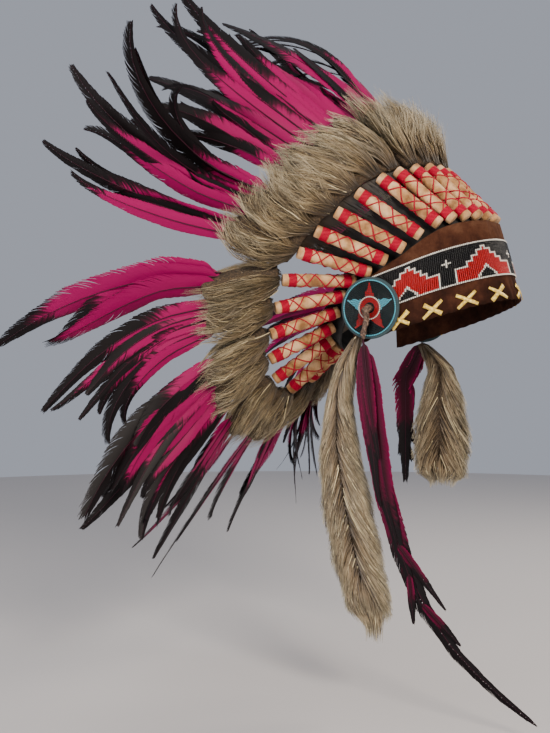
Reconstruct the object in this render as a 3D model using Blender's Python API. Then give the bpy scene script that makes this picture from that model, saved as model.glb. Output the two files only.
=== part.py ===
"""Feathered headdress: suede brow band with a bead strip, felt feather wraps, fur and plumes.

Metres, +Z up.  The origin is the middle of the head opening where the band sits.
The wearer looks along -Y, and the wearer's right hand is at -X.
"""

import math

import bpy
import bmesh
from mathutils import Vector

# Crown line: the ring on which the feather wraps stand, seen from above as half ellipses
HEAD_HALF_WIDTH = 0.077
FRONT_REACH = 0.080
BACK_REACH = 0.115
CROWN_TOP = 0.084
CROWN_DROP = 0.134

# Crown line round one side.  turn: degrees from the brow to the nape.
# drop: share of CROWN_DROP.  rise and swing: direction of a wrap, up from level and round from the front.
# droop: degrees that the plumes bend down past the wraps.
CROWN_COLUMNS = ("turn", "drop", "rise", "swing", "droop")
CROWN = (
    (0, 0.000, 46, 180, 0),
    (30, 0.005, 45, 176, 0),
    (60, 0.075, 39, 165, 0),
    (85, 0.235, 30, 153, 1),
    (108, 0.420, 15, 143, 3),
    (124, 0.510, -4, 139, 4),
    (142, 0.740, -20, 140, 26),
    (160, 0.920, -33, 154, 26),
    (180, 1.000, -40, 180, 12),
)

# Brow band
BAND_HALF_WIDTH = 0.080
BAND_FRONT = 0.105
BAND_BACK = 0.112
BAND_EDGE_LEVEL = -0.034
BAND_EDGE_SLOPE = 17.0
BAND_WALL = 0.0025
BAND_END_TURN = 126.0
SCALLOP = 0.0018
SCALLOPS = 36

# Bead strip on the brow band
STRIP_WALL = 0.0018
STRIP_FROM_EDGE = 0.027
STRIP_HEIGHT = 0.042
STRIP_END_TURN = 112.0
STRIP_SEAT = 0.0003

# Dark crown strip: it lines the band and backs the wraps
CROWN_WALL = 0.0020
LINING_HEIGHT = 0.022
NAPE_HEIGHT = 0.011
NAPE_TURN = 142.0
FLANGE_FRONT = 0.065
FLANGE_NAPE = 0.020
FLANGE_END_TURN = 111.0

# Felt wraps round the quills
WRAP_DIAMETER = 0.0140
WRAP_LENGTH = 0.086
WRAP_START = 0.0022
WRAP_SIDES = 8
BAND_RAISE = 0.0004
THREAD_BAND = 0.0085
THREAD_BAND_INSET = 0.0065
FRONT_PITCH = 0.0163
FRONT_WRAPS = 5
NAPE_WRAP = 15
CLEAR = 0.0004

# Rosettes over the ends of the brow band
ROSETTE_DIAMETER = 0.069
ROSETTE_BACKING = 0.0030
BEAD_DISC_DIAMETER = 0.063
BEAD_DISC = 0.0022
ROSETTE_HOLE = 0.008
ROSETTE_BACK = 0.038
ROSETTE_DOWN = 0.0125
ROSETTE_SIDES = 24

# Leather tie through the middle of the rosette
TIE_DIAMETER = 0.0058
TIE_KNOT = 0.0095
TIE_LENGTH = 0.034

# Fur at the ends of the wraps
FUR_START = 0.0022
FUR_LENGTH = 0.104
FUR_THICKNESS = 0.036
FUR_GROUP_GAP = 0.0012

# Plumes past the fur
PLUME_BAR = 0.006
PLUME_BAR_THICKNESS = 0.006
PLUME_LENGTH = 0.200
PLUME_WIDTH = 0.024
PLUME_THICKNESS = 0.0030
PLUME_GAP = 0.0005

# Hanging drops below the rosettes
DROP_TOP = 0.0008
FUR_DROP_LENGTH = 0.320
FUR_DROP_WIDTH = 0.058
FUR_DROP_THICKNESS = 0.020
FEATHER_DROP_LENGTH = 0.400
FEATHER_DROP_WIDTH = 0.030
FEATHER_DROP_THICKNESS = 0.007

# Drops of each hand: shares of the fur drop's length and width and of the feather drop's length,
# share of the forward sweep, and how far forward the fur and the feathers hang.
DROP_COLUMNS = ("hand", "side", "fur", "fur_width", "feather", "sweep", "fur_ahead", "feather_ahead")
DROPS = (
    ("right", -1, 1.00, 1.00, 1.00, 1.0, -0.006, 0.002),
    ("left", 1, 0.52, 1.15, 0.44, 0.0, 0.024, -0.024),
)

RED_FELT_TAN = (0.68, 0.46, 0.27, 1.0)
SUEDE = (0.147, 0.033, 0.009, 1.0)
BEADS = (0.06, 0.012, 0.010, 1.0)
DARK_STRIP = (0.042, 0.047, 0.045, 1.0)
TEAL_BACKING = (0.10, 0.35, 0.42, 1.0)
TIE_LEATHER = (0.30, 0.16, 0.08, 1.0)
FUR_BROWN = (0.39, 0.29, 0.15, 1.0)
FUR_DARK = (0.20, 0.14, 0.08, 1.0)
MAGENTA = (0.62, 0.02, 0.16, 1.0)
MAROON = (0.22, 0.01, 0.05, 1.0)


def column(name):
    place = CROWN_COLUMNS.index(name)
    return [row[place] for row in CROWN]


def smooth(at, xs, ys):
    """Value of the curve through the table's rows, with the mean slope at each row."""
    slopes = []
    for i in range(len(xs)):
        a = max(i - 1, 0)
        b = min(i + 1, len(xs) - 1)
        slopes.append((ys[b] - ys[a]) / (xs[b] - xs[a]))
    i = 0
    while i < len(xs) - 2 and at > xs[i + 1]:
        i += 1
    width = xs[i + 1] - xs[i]
    t = (at - xs[i]) / width
    return ((2 * t ** 3 - 3 * t ** 2 + 1) * ys[i] + (t ** 3 - 2 * t ** 2 + t) * width * slopes[i]
            + (3 * t ** 2 - 2 * t ** 3) * ys[i + 1] + (t ** 3 - t ** 2) * width * slopes[i + 1])


def crown_value(name, turn):
    return smooth(turn, column("turn"), column(name))


def crown_point(turn, side):
    t = math.radians(turn)
    reach = FRONT_REACH if turn < 90 else BACK_REACH
    return Vector((side * HEAD_HALF_WIDTH * math.sin(t), -reach * math.cos(t),
                   CROWN_TOP - CROWN_DROP * crown_value("drop", turn)))


def lower_point(turn, side):
    t = math.radians(turn)
    reach = BAND_FRONT if turn < 90 else BAND_BACK
    y = -reach * math.cos(t)
    return Vector((side * BAND_HALF_WIDTH * math.sin(t), y,
                   BAND_EDGE_LEVEL - y * math.tan(math.radians(BAND_EDGE_SLOPE))))


def crown_frame(turn, side):
    """Point on the crown line with the directions along a wrap, along the line and outwards."""
    rise = math.radians(crown_value("rise", turn))
    swing = math.radians(crown_value("swing", turn))
    point = crown_point(turn, side)
    along = Vector((side * math.sin(swing) * math.cos(rise), -math.cos(swing) * math.cos(rise),
                    math.sin(rise)))
    low, high = max(turn - 0.5, 0.0), min(turn + 0.5, 180.0)
    tangent = crown_point(high, side) - crown_point(low, side)
    tangent = (tangent - along * tangent.dot(along)).normalized()
    outward = along.cross(tangent) * -side
    return point, along, tangent * side, outward.normalized()


def crown_arcs():
    """Length of the crown line from the brow at each degree."""
    arcs = [0.0]
    for turn in range(180):
        arcs.append(arcs[-1] + (crown_point(turn + 1, 1) - crown_point(turn, 1)).length)
    return arcs


ARCS = crown_arcs()
SIDE_PITCH = (ARCS[-1] - FRONT_WRAPS * FRONT_PITCH) / (NAPE_WRAP - FRONT_WRAPS)


def wrap_turn(place):
    """Turn of the wrap that has this number, counted from the middle of the brow."""
    place = abs(place)
    arc = min(place, FRONT_WRAPS) * FRONT_PITCH + max(place - FRONT_WRAPS, 0) * SIDE_PITCH
    if arc > ARCS[-1]:
        arc = 2 * ARCS[-1] - arc
    i = 0
    while i < 179 and ARCS[i + 1] < arc:
        i += 1
    return i + (arc - ARCS[i]) / (ARCS[i + 1] - ARCS[i])


def wrap_frame(place):
    side = 1 if place >= 0 else -1
    if abs(place) > NAPE_WRAP:
        side = -side
    return crown_frame(wrap_turn(place), side)


def wrap_start(place):
    """Distance along a wrap from the crown line to its foot, just clear of the band's sloping top edge."""
    point, along, across, outward = wrap_frame(place)
    turn = wrap_turn(place)
    side = -1 if point.x < 0 else 1
    rise = 0.0
    for step in range(-8, 9):
        if 0 <= turn + step <= 180:
            edge = crown_point(turn + step, side) - point
            if abs(edge.dot(across)) < WRAP_DIAMETER / 2:
                rise = max(rise, edge.dot(along))
    return WRAP_START + rise


def wrap_end(place):
    return wrap_start(place) + WRAP_LENGTH


def plume_frame(place, past):
    """Axis point this far past the end of the wraps, with its directions."""
    point, along, across, outward = wrap_frame(place)
    end = wrap_end(place)
    bend = math.radians(crown_value("droop", wrap_turn(place)))
    down = Vector((0, 0, -1))
    down = (down - along * down.dot(along)).normalized()
    if past <= 0 or bend < 1e-4:
        return point + along * (end + past), along, across, outward
    rate = bend / FUR_LENGTH
    curved = min(past, FUR_LENGTH)
    straight = past - curved
    angle = rate * curved
    forward = math.sin(angle) / rate + straight * math.cos(angle)
    fall = (1 - math.cos(angle)) / rate + straight * math.sin(angle)
    heading = along * math.cos(angle) + down * math.sin(angle)
    across = (across - heading * across.dot(heading)).normalized()
    normal = across.cross(heading)
    if normal.dot(outward) < 0:
        normal.negate()
    return point + along * (end + forward) + down * fall, heading, across, normal


def material(name, colour, roughness, metallic=0.0):
    made = bpy.data.materials.new(name)
    made.use_nodes = True
    shader = made.node_tree.nodes["Principled BSDF"]
    shader.inputs["Base Color"].default_value = colour
    shader.inputs["Roughness"].default_value = roughness
    shader.inputs["Metallic"].default_value = metallic
    made.diffuse_color = colour
    return made


def add_object(name, bm, colour, roughness, angle=40.0):
    bmesh.ops.recalc_face_normals(bm, faces=bm.faces)
    mesh = bpy.data.meshes.new(name)
    bm.to_mesh(mesh)
    bm.free()
    mesh.shade_smooth()
    mesh.set_sharp_from_angle(angle=math.radians(angle))
    made = bpy.data.objects.new(name, mesh)
    bpy.context.scene.collection.objects.link(made)
    mesh.materials.append(material(name, colour, roughness))
    return made


def loft(bm, sections, closed=False):
    """Skin through loops of points.  The end loops are filled unless the sections close on themselves."""
    loops = [[bm.verts.new(p) for p in loop] for loop in sections]
    pairs = list(zip(loops, loops[1:]))
    if closed:
        pairs.append((loops[-1], loops[0]))
    count = len(loops[0])
    for a, b in pairs:
        for i in range(count):
            j = (i + 1) % count
            bm.faces.new((a[i], a[j], b[j], b[i]))
    if not closed:
        bm.faces.new(loops[0][::-1])
        bm.faces.new(loops[-1])
    return loops


def block(bm, grid_low, grid_high):
    """Closed sheet between two equal grids of points, row by row."""
    low = [[bm.verts.new(p) for p in row] for row in grid_low]
    high = [[bm.verts.new(p) for p in row] for row in grid_high]
    rows = len(low)
    cols = len(low[0])
    for r in range(rows - 1):
        for c in range(cols - 1):
            bm.faces.new((low[r][c], low[r][c + 1], low[r + 1][c + 1], low[r + 1][c]))
            bm.faces.new((high[r][c], high[r + 1][c], high[r + 1][c + 1], high[r][c + 1]))
    for r in range(rows - 1):
        bm.faces.new((low[r][0], low[r + 1][0], high[r + 1][0], high[r][0]))
        bm.faces.new((low[r][-1], high[r][-1], high[r + 1][-1], low[r + 1][-1]))
    ends = []
    for c in range(cols - 1):
        bm.faces.new((low[0][c], high[0][c], high[0][c + 1], low[0][c + 1]))
        ends.append((low[-1][c], low[-1][c + 1], high[-1][c + 1], high[-1][c]))
    return ends


def turns(end_turn, count):
    """Signed turns from the wearer's right end round the brow to the left end."""
    return [end_turn * (2 * i / count - 1) for i in range(count + 1)]


def band_frame(signed_turn):
    """Lower edge, crown line and outward normal of the brow band."""
    side = 1 if signed_turn >= 0 else -1
    turn = abs(signed_turn)
    low = lower_point(turn, side)
    top = crown_point(turn, side)
    step = 0.5
    ahead = lower_point(turn + step, side) - lower_point(max(turn - step, 0), side)
    normal = (top - low).cross(ahead) * side
    radial = Vector((low.x, low.y, 0))
    if normal.dot(radial) < 0:
        normal.negate()
    return low, top, normal.normalized()


def make_brow_band():
    bm = bmesh.new()
    sections = []
    for i, signed in enumerate(turns(BAND_END_TURN, 2 * SCALLOPS)):
        low, top, normal = band_frame(signed)
        up = (top - low).normalized()
        edge = low - up * (SCALLOP if i % 2 else 0)
        half = normal * BAND_WALL / 2
        sections.append((edge - half, edge + half, top + half, top - half))
    loft(bm, sections)
    return add_object("brow_band", bm, SUEDE, 0.95)


def make_bead_strip():
    bm = bmesh.new()
    sections = []
    for signed in turns(STRIP_END_TURN, 48):
        low, top, normal = band_frame(signed)
        up = (top - low).normalized()
        foot = low + up * STRIP_FROM_EDGE + normal * (BAND_WALL / 2 + STRIP_SEAT)
        head = foot + up * STRIP_HEIGHT
        wall = normal * STRIP_WALL
        sections.append((foot, foot + wall, head + wall, head))
    loft(bm, sections)
    return add_object("bead_strip", bm, BEADS, 0.35)


def make_crown_strip():
    """Angled sheet round the head: a wall inside the band and a flange behind the wraps."""
    bm = bmesh.new()
    sections = []
    back_off = WRAP_DIAMETER / 2 + BAND_RAISE + CLEAR + CROWN_WALL / 2
    inside = BAND_WALL / 2 + 0.0006 + CROWN_WALL / 2
    steps = 36
    for i in range(2 * steps):
        signed = 180.0 * (i / steps - 1)
        side = 1 if signed >= 0 else -1
        turn = abs(signed)
        point, along, across, outward = crown_frame(turn, side)
        low, top, normal = band_frame(signed)
        up = (top - low).normalized()
        lining = point - up * LINING_HEIGHT - normal * inside
        nape = point + outward * NAPE_HEIGHT - along * (CROWN_WALL / 2 + CLEAR)
        bared = BAND_END_TURN + 5
        blend = min(max((turn - bared) / (NAPE_TURN - bared), 0), 1)
        bottom = lining.lerp(nape, blend)
        spare = inside + 0.0008 - back_off * outward.dot(normal)
        knee = point - outward * back_off - normal * max(spare, 0) * (1 - blend)
        if turn <= FLANGE_END_TURN:
            reach = FLANGE_FRONT
        else:
            reach = FLANGE_NAPE
        tip = knee + along * reach
        wall_way = (knee - bottom).normalized()
        wall_normal = (outward * wall_way.dot(along) - along * wall_way.dot(outward)).normalized()
        mitre = (wall_normal + outward).normalized()
        mitre = mitre / max(mitre.dot(outward), 0.5)
        half = CROWN_WALL / 2
        sections.append((bottom - wall_normal * half, knee - mitre * half, tip - outward * half,
                         tip + outward * half, knee + mitre * half, bottom + wall_normal * half))
    loft(bm, sections, closed=True)
    return add_object("crown_strip", bm, DARK_STRIP, 0.9)


# Profile of one wrap from end to end: distance from the end, and share of the radius.
def wrap_profile():
    inset = THREAD_BAND_INSET
    radius = WRAP_DIAMETER / 2
    raised = radius + BAND_RAISE
    half = ((0.0, 0.60 * radius), (0.0022, radius), (inset, raised), (inset + THREAD_BAND, raised),
            (inset + THREAD_BAND + 0.003, radius))
    return half + tuple((WRAP_LENGTH - at, size) for at, size in reversed(half))


def make_wrap(place, name):
    point, along, across, outward = wrap_frame(place)
    bm = bmesh.new()
    sections = []
    for at, size in wrap_profile():
        centre = point + along * (wrap_start(place) + at)
        loop = []
        for k in range(WRAP_SIDES):
            angle = 2 * math.pi * k / WRAP_SIDES
            loop.append(centre + across * size * math.cos(angle) + outward * size * math.sin(angle))
        sections.append(loop)
    loft(bm, sections)
    return add_object(name, bm, RED_FELT_TAN, 0.9, 50)


# Groups of wraps that share one tuft of fur and one bunch of plumes, by the number of the wrap, and
# share of FUR_START between the wraps and the fur.
GROUPS = (
    ("centre", -3.5, 3.5, 1.0),
    ("side", 3.5, 9.5, 1.0),
    ("low", 9.5, 11.5, 1.0),
    ("nape", 11.5, 13.5, 1.0),
    ("tail", 13.5, 16.5, 0.7),
)

# Fur along its length: share of FUR_LENGTH, outer and inner face as shares of half FUR_THICKNESS,
# share of the group's width.
FUR_ROWS = (
    (0.00, 0.42, 0.42, 0.98),
    (0.14, 0.95, 0.75, 1.00),
    (0.45, 1.40, 0.85, 1.00),
    (0.76, 1.45, 0.50, 0.95),
    (1.00, 0.75, 0.05, 0.86),
)
LOCK_ENDS = (1.00, 0.90, 0.97, 0.88, 1.00)
LOCK_NOTCH = 0.84


def group_place(low, high, share, width, side):
    """Place across a group, share 0 to 1, kept off the neighbouring groups."""
    pitch = FRONT_PITCH if abs(low + high) / 2 < FRONT_WRAPS else SIDE_PITCH
    margin = FUR_GROUP_GAP / 2 / pitch
    middle = (low + high) / 2
    half = ((high - low) / 2 - margin) * width
    return side * (middle + (share * 2 - 1) * half)


def fur_end(share, locks):
    """Share of the fur's length where the locks end, longest in the middle of each lock."""
    spot = share * locks
    lock = min(int(spot), locks - 1)
    middle = 1 - abs(2 * (spot - lock) - 1)
    return LOCK_NOTCH + (LOCK_ENDS[lock % len(LOCK_ENDS)] - LOCK_NOTCH) * middle


def make_fur(name, low, high, side, start):
    locks = round(high - low)
    columns = 2 * locks
    bottoms = []
    tops = []
    for along_share, outer, inner, width in FUR_ROWS:
        under = []
        over = []
        for c in range(columns + 1):
            share = c / columns
            place = group_place(low, high, share, width, side)
            past = FUR_START * start + FUR_LENGTH * along_share * fur_end(share, locks)
            point, heading, across, outward = plume_frame(place, past)
            half = FUR_THICKNESS / 2 * (1.0 if c % 2 else 0.66)
            under.append(point - outward * half * inner)
            over.append(point + outward * half * outer)
        bottoms.append(under)
        tops.append(over)
    bm = bmesh.new()
    for face in block(bm, bottoms, tops):
        bm.faces.new(face)
    return add_object(name, bm, FUR_BROWN, 1.0, 60)


# Plumes of each group.  across: -1 to 1 over the group.  fan and curl: degrees towards the nape at the
# root and more by the tip.  lift and nod: degrees outwards at the root and more by the tip.
# length and width: shares of PLUME_LENGTH and PLUME_WIDTH.
PLUME_COLUMNS = ("across", "fan", "curl", "lift", "nod", "length", "width")
PLUMES = {
    "centre": (
        (-0.80, -2, -4, -4, -20, 1.12, 0.9),
        (-0.28, 1, 2, 12, -72, 1.20, 0.9),
        (0.28, -1, -2, 12, -72, 1.20, 0.9),
        (0.80, 2, 4, -4, -20, 1.12, 0.9),
    ),
    "side": (
        (-0.92, -4, -2, -10, -10, 1.05, 0.9),
        (-0.70, -2, -12, -4, -4, 1.36, 0.9),
        (-0.46, 0, -6, -8, -10, 1.26, 0.9),
        (-0.22, 6, 4, -12, -14, 0.94, 0.9),
        (0.04, -6, 20, 0, 6, 0.62, 0.9),
        (0.38, -14, -60, 12, 6, 1.08, 1.0),
        (0.62, -12, -18, -2, -10, 1.04, 1.1),
        (0.88, -4, -4, -2, -12, 0.95, 1.0),
    ),
    "low": (
        (-0.70, 30, 18, -8, 22, 1.24, 1.4),
        (0.10, 6, 40, 6, 18, 0.92, 0.9),
        (0.70, 10, 60, 4, 10, 0.78, 0.9),
    ),
    "nape": (
        (-0.60, -16, 14, 2, 30, 0.94, 1.3),
        (0.10, -16, 10, 0, 6, 0.92, 0.9),
        (0.70, -20, 20, 0, 30, 0.74, 0.9),
    ),
    "tail": (
        (-0.70, 6, -4, 0, 0, 0.74, 1.0),
        (0.00, 0, -6, 0, 0, 1.14, 1.3),
        (0.70, -6, 4, 0, 0, 0.80, 1.0),
    ),
}

# One plume along its length: share of the length, share of the width, share of the thickness.
PLUME_ROWS = (
    (0.12, 0.60, 1.0),
    (0.36, 1.00, 1.0),
    (0.62, 0.86, 0.9),
    (0.84, 0.50, 0.7),
    (1.00, 0.12, 0.4),
)
CURL_POWER = 1.3


def plume_path(place, row, side, steps=20):
    """Points with their headings, across and outward directions along one plume from the root bar."""
    across_share, fan, curl, lift, nod, length_share, width_share = row
    start = FUR_START + FUR_LENGTH + PLUME_GAP + PLUME_BAR
    point, heading, across, outward = plume_frame(place, start)
    across = across * side
    step = PLUME_LENGTH * length_share / steps
    path = [(point, heading, across, outward)]
    for i in range(steps):
        share = (i + 0.5) / steps
        bend = math.radians(fan * min(share * 5, 1) + curl * share ** CURL_POWER)
        pitch = math.radians(lift * min(share * 5, 1) + nod * share ** CURL_POWER)
        flat = heading * math.cos(bend) + across * math.sin(bend)
        way = flat * math.cos(pitch) + outward * math.sin(pitch)
        cross = across * math.cos(bend) - heading * math.sin(bend)
        point = point + way * step
        path.append((point, way, cross, cross.cross(way).normalized() * side))
    return path


def path_at(path, share):
    spot = share * (len(path) - 1)
    i = min(int(spot), len(path) - 2)
    t = spot - i
    return [path[i][k].lerp(path[i + 1][k], t) for k in range(4)]


def make_plumes(name, group, low, high, side):
    rows = PLUMES[group]
    cell = 0.0045
    shares = []
    middle = (low + high) / 2
    pitch = FRONT_PITCH if abs(middle) < FRONT_WRAPS else SIDE_PITCH
    half_width = (high - low) / 2 * pitch
    for row in rows:
        centre = 0.5 + row[0] * 0.5 * FUR_ROWS[-1][3]
        shares.append(centre - cell / half_width / 2)
        shares.append(centre + cell / half_width / 2)
    start = FUR_START + FUR_LENGTH + PLUME_GAP
    grids = ([], [])
    for reach in (start, start + PLUME_BAR):
        rows_pair = ([], [])
        for share in shares:
            place = group_place(low, high, share, 1.0, side)
            point, heading, across, outward = plume_frame(place, reach)
            rows_pair[0].append(point - outward * PLUME_BAR_THICKNESS / 2)
            rows_pair[1].append(point + outward * PLUME_BAR_THICKNESS / 2)
        grids[0].append(rows_pair[0])
        grids[1].append(rows_pair[1])
    bm = bmesh.new()
    ends = block(bm, grids[0], grids[1])
    for index, face in enumerate(ends):
        if index % 2:
            bm.faces.new(face)
            continue
        row = rows[index // 2]
        centre = 0.5 + row[0] * 0.5 * FUR_ROWS[-1][3]
        place = group_place(low, high, centre, 1.0, side)
        path = plume_path(place, row, side)
        loop = list(face)
        for at, wide, thick in PLUME_ROWS:
            point, way, cross, normal = path_at(path, at)
            half = cross * PLUME_WIDTH * row[6] * wide / 2
            rise = normal * PLUME_THICKNESS * thick / 2
            corners = [point - half, point + half]
            if (loop[1].co - loop[0].co).dot(cross) < 0:
                corners.reverse()
            if (loop[3].co - loop[0].co).dot(normal) < 0:
                rise.negate()
            fresh = [bm.verts.new(p) for p in (corners[0] - rise, corners[1] - rise,
                                               corners[1] + rise, corners[0] + rise)]
            for i in range(4):
                j = (i + 1) % 4
                bm.faces.new((loop[i], loop[j], fresh[j], fresh[i]))
            loop = fresh
        bm.faces.new(loop)
    return add_object(name, bm, MAGENTA, 0.6, 60)


def rosette_seat():
    """How far out the brow band and the bead strip reach behind the rosette."""
    far = 0.0
    for turn in range(70, int(BAND_END_TURN) + 1):
        low, top, normal = band_frame(float(turn))
        up = (top - low).normalized()
        height = (top - low).length
        for step in range(25):
            at = height * step / 24
            off = BAND_WALL / 2
            if turn <= STRIP_END_TURN and STRIP_FROM_EDGE <= at <= STRIP_FROM_EDGE + STRIP_HEIGHT:
                off += STRIP_SEAT + STRIP_WALL
            spot = low + up * at + normal * off
            if math.hypot(spot.y - ROSETTE_BACK, spot.z + ROSETTE_DOWN) < ROSETTE_DIAMETER / 2 + 0.001:
                far = max(far, spot.x)
    return far


def rosette_middle(side):
    """Middle of the rosette's back face, just clear of the bead strip."""
    return Vector((side * (rosette_seat() + CLEAR), ROSETTE_BACK, -ROSETTE_DOWN))


def make_rosette(name, side):
    middle = rosette_middle(side)
    profile = (
        (ROSETTE_HOLE / 2, 0.0), (ROSETTE_DIAMETER / 2, 0.0), (ROSETTE_DIAMETER / 2, ROSETTE_BACKING),
        (BEAD_DISC_DIAMETER / 2, ROSETTE_BACKING),
        (BEAD_DISC_DIAMETER / 2, ROSETTE_BACKING + BEAD_DISC * 0.7),
        (BEAD_DISC_DIAMETER / 2 - 0.002, ROSETTE_BACKING + BEAD_DISC),
        (ROSETTE_HOLE / 2, ROSETTE_BACKING + BEAD_DISC),
    )
    bm = bmesh.new()
    sections = []
    for k in range(ROSETTE_SIDES):
        angle = 2 * math.pi * k / ROSETTE_SIDES
        sections.append([middle + Vector((side * out, radius * math.cos(angle), radius * math.sin(angle)))
                         for radius, out in profile])
    loft(bm, sections, closed=True)
    return add_object(name, bm, TEAL_BACKING, 0.5)


# Tie: place down from the hole as a share of its length, out from the rosette's face as a share of the
# knot, and share of the thickness.  Rows that lie in the hole take its width.
TIE_ROWS = (
    (0.00, -0.40, 1.00),
    (0.00, 0.05, 1.00),
    (0.00, 0.46, 1.40),
    (0.10, 0.74, 1.60),
    (0.25, 0.52, 1.00),
    (0.45, 0.45, 0.95),
    (0.70, 0.44, 1.00),
    (0.90, 0.44, 0.90),
    (1.00, 0.44, 0.60),
)


def make_tie(name, side):
    middle = rosette_middle(side)
    face = ROSETTE_BACKING + BEAD_DISC
    spots = []
    for down, out, size in TIE_ROWS:
        stand = TIE_KNOT * out
        if out > 0.2:
            stand = max(stand, TIE_DIAMETER * size / 2 + CLEAR)
        spots.append((middle + Vector((side * (face + stand), down * TIE_LENGTH * 0.15,
                                       -down * TIE_LENGTH)), size))
    bm = bmesh.new()
    sections = []
    for i, (spot, size) in enumerate(spots):
        before = spots[max(i - 1, 0)][0]
        after = spots[min(i + 1, len(spots) - 1)][0]
        way = (after - before).normalized()
        first = way.cross(Vector((0, 1, 0))).normalized()
        second = way.cross(first)
        radius = TIE_DIAMETER * size / 2
        if TIE_ROWS[i][1] <= 0.05:
            radius = ROSETTE_HOLE / 2 - CLEAR
        sections.append([spot + first * radius * math.cos(a) + second * radius * math.sin(a)
                         for a in [2 * math.pi * k / 8 for k in range(8)]])
    loft(bm, sections)
    return add_object(name, bm, TIE_LEATHER, 0.8)


# Fur drop: share of its length, share of its width, share of its thickness, and how far back or
# forward its middle lies as a share of its length.
FUR_DROP_ROWS = (
    (0.00, 0.30, 0.35, 0.050),
    (0.08, 0.46, 0.62, 0.078),
    (0.20, 0.50, 0.80, 0.100),
    (0.23, 0.46, 0.74, 0.102),
    (0.38, 0.80, 0.92, 0.100),
    (0.41, 0.72, 0.86, 0.098),
    (0.57, 1.00, 1.00, 0.070),
    (0.60, 0.88, 0.94, 0.066),
    (0.76, 1.00, 1.00, 0.028),
    (0.79, 0.90, 0.92, 0.020),
    (0.93, 0.84, 0.70, -0.016),
    (1.00, 0.40, 0.30, -0.030),
)

# Feather drop: share of its length down, share forward, share of its width and of its thickness.
FEATHER_DROP_ROWS = (
    (0.000, 0.000, 0.40, 1.0),
    (0.10, 0.012, 0.80, 1.0),
    (0.24, 0.030, 0.95, 1.0),
    (0.40, 0.058, 1.00, 1.0),
    (0.56, 0.105, 1.00, 0.9),
    (0.70, 0.165, 0.95, 0.8),
    (0.82, 0.255, 0.90, 0.7),
    (0.90, 0.345, 0.80, 0.6),
    (0.955, 0.425, 0.45, 0.5),
    (0.99, 0.480, 0.12, 0.4),
)


def fur_drop_top(side, back):
    """Point just under the rosette's rim, this far behind its middle."""
    middle = rosette_middle(side)
    rim = math.sqrt(max((ROSETTE_DIAMETER / 2) ** 2 - back ** 2, 0))
    return Vector((middle.x, middle.y, middle.z - rim - DROP_TOP))


def tie_end(side):
    """Lower end of the tie, where the feather drop hangs."""
    middle = rosette_middle(side)
    down, out, size = TIE_ROWS[-1]
    stand = max(TIE_KNOT * out, TIE_DIAMETER * size / 2 + CLEAR)
    return middle + Vector((side * (ROSETTE_BACKING + BEAD_DISC + stand), TIE_LENGTH * 0.15,
                            -TIE_LENGTH - DROP_TOP))


def make_fur_drop(name, side, scale, broad, sweep, ahead):
    length = FUR_DROP_LENGTH * scale
    top = fur_drop_top(side, FUR_DROP_ROWS[0][3] * length * sweep)
    bm = bmesh.new()
    sections = []
    for down, wide, thick, back in FUR_DROP_ROWS:
        centre = top + Vector((0, back * length * sweep - ahead * min(down * 6, 1), -down * length))
        half = FUR_DROP_WIDTH / 2 * wide * broad
        deep = FUR_DROP_THICKNESS / 2 * thick
        loop = []
        for y, x in ((-1, 0), (-0.55, 0.9), (0, 1), (0.55, 0.9), (1, 0), (0.55, -0.9), (0, -1), (-0.55, -0.9)):
            loop.append(centre + Vector((side * x * deep, y * half, -abs(y) * half * 0.35)))
        sections.append(loop)
    loft(bm, sections)
    return add_object(name, bm, FUR_DARK, 1.0, 70)


def make_feather_drop(name, side, scale, sweep, ahead):
    top = tie_end(side)
    fur_face = rosette_middle(side).x * side + FUR_DROP_THICKNESS / 2
    out = fur_face + FEATHER_DROP_THICKNESS / 2 + CLEAR - top.x * side
    bm = bmesh.new()
    sections = []
    length = FEATHER_DROP_LENGTH * scale
    rows = FEATHER_DROP_ROWS
    for i, (down, along, wide, thick) in enumerate(rows):
        centre = top + Vector((side * out * min(down * 6, 1), -along * length * sweep - ahead * min(down * 4, 1),
                               -down * length))
        a = rows[max(i - 1, 0)]
        b = rows[min(i + 1, len(rows) - 1)]
        way = Vector((0, -(b[1] - a[1]) * sweep, -(b[0] - a[0]))).normalized()
        cross = Vector((0, -way.z, way.y))
        half = cross * FEATHER_DROP_WIDTH / 2 * wide
        rise = Vector((side * FEATHER_DROP_THICKNESS / 2 * thick, 0, 0))
        sections.append((centre - half, centre - half * 0.3 + rise, centre + half * 0.3 + rise,
                         centre + half, centre + half * 0.3 - rise, centre - half * 0.3 - rise))
    loft(bm, sections)
    return add_object(name, bm, MAROON, 0.7, 60)


def clear_scene():
    for old in list(bpy.data.objects):
        bpy.data.objects.remove(old, do_unlink=True)


clear_scene()
make_brow_band()
make_bead_strip()
make_crown_strip()
for number in range(1 - NAPE_WRAP, NAPE_WRAP + 1):
    if number == 0:
        make_wrap(number, "wrap_centre")
    elif number == NAPE_WRAP:
        make_wrap(number, "wrap_nape")
    else:
        hand = "left" if number > 0 else "right"
        make_wrap(number, "wrap_%s_%02d" % (hand, abs(number)))
for group, first, last, start in GROUPS:
    if group in ("centre", "tail"):
        make_fur("fur_%s" % group, first, last, 1, start)
        make_plumes("plumes_%s" % group, group, first, last, 1)
        continue
    for hand, side in (("right", -1), ("left", 1)):
        make_fur("fur_%s_%s" % (group, hand), first, last, side, start)
        make_plumes("plumes_%s_%s" % (group, hand), group, first, last, side)
for hand, side, fur, broad, feather, sweep, fur_ahead, feather_ahead in DROPS:
    make_rosette("rosette_%s" % hand, side)
    make_tie("tie_%s" % hand, side)
    make_fur_drop("fur_drop_%s" % hand, side, fur, broad, sweep, fur_ahead)
    make_feather_drop("feather_drop_%s" % hand, side, feather, sweep, feather_ahead)
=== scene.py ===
import math

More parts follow.
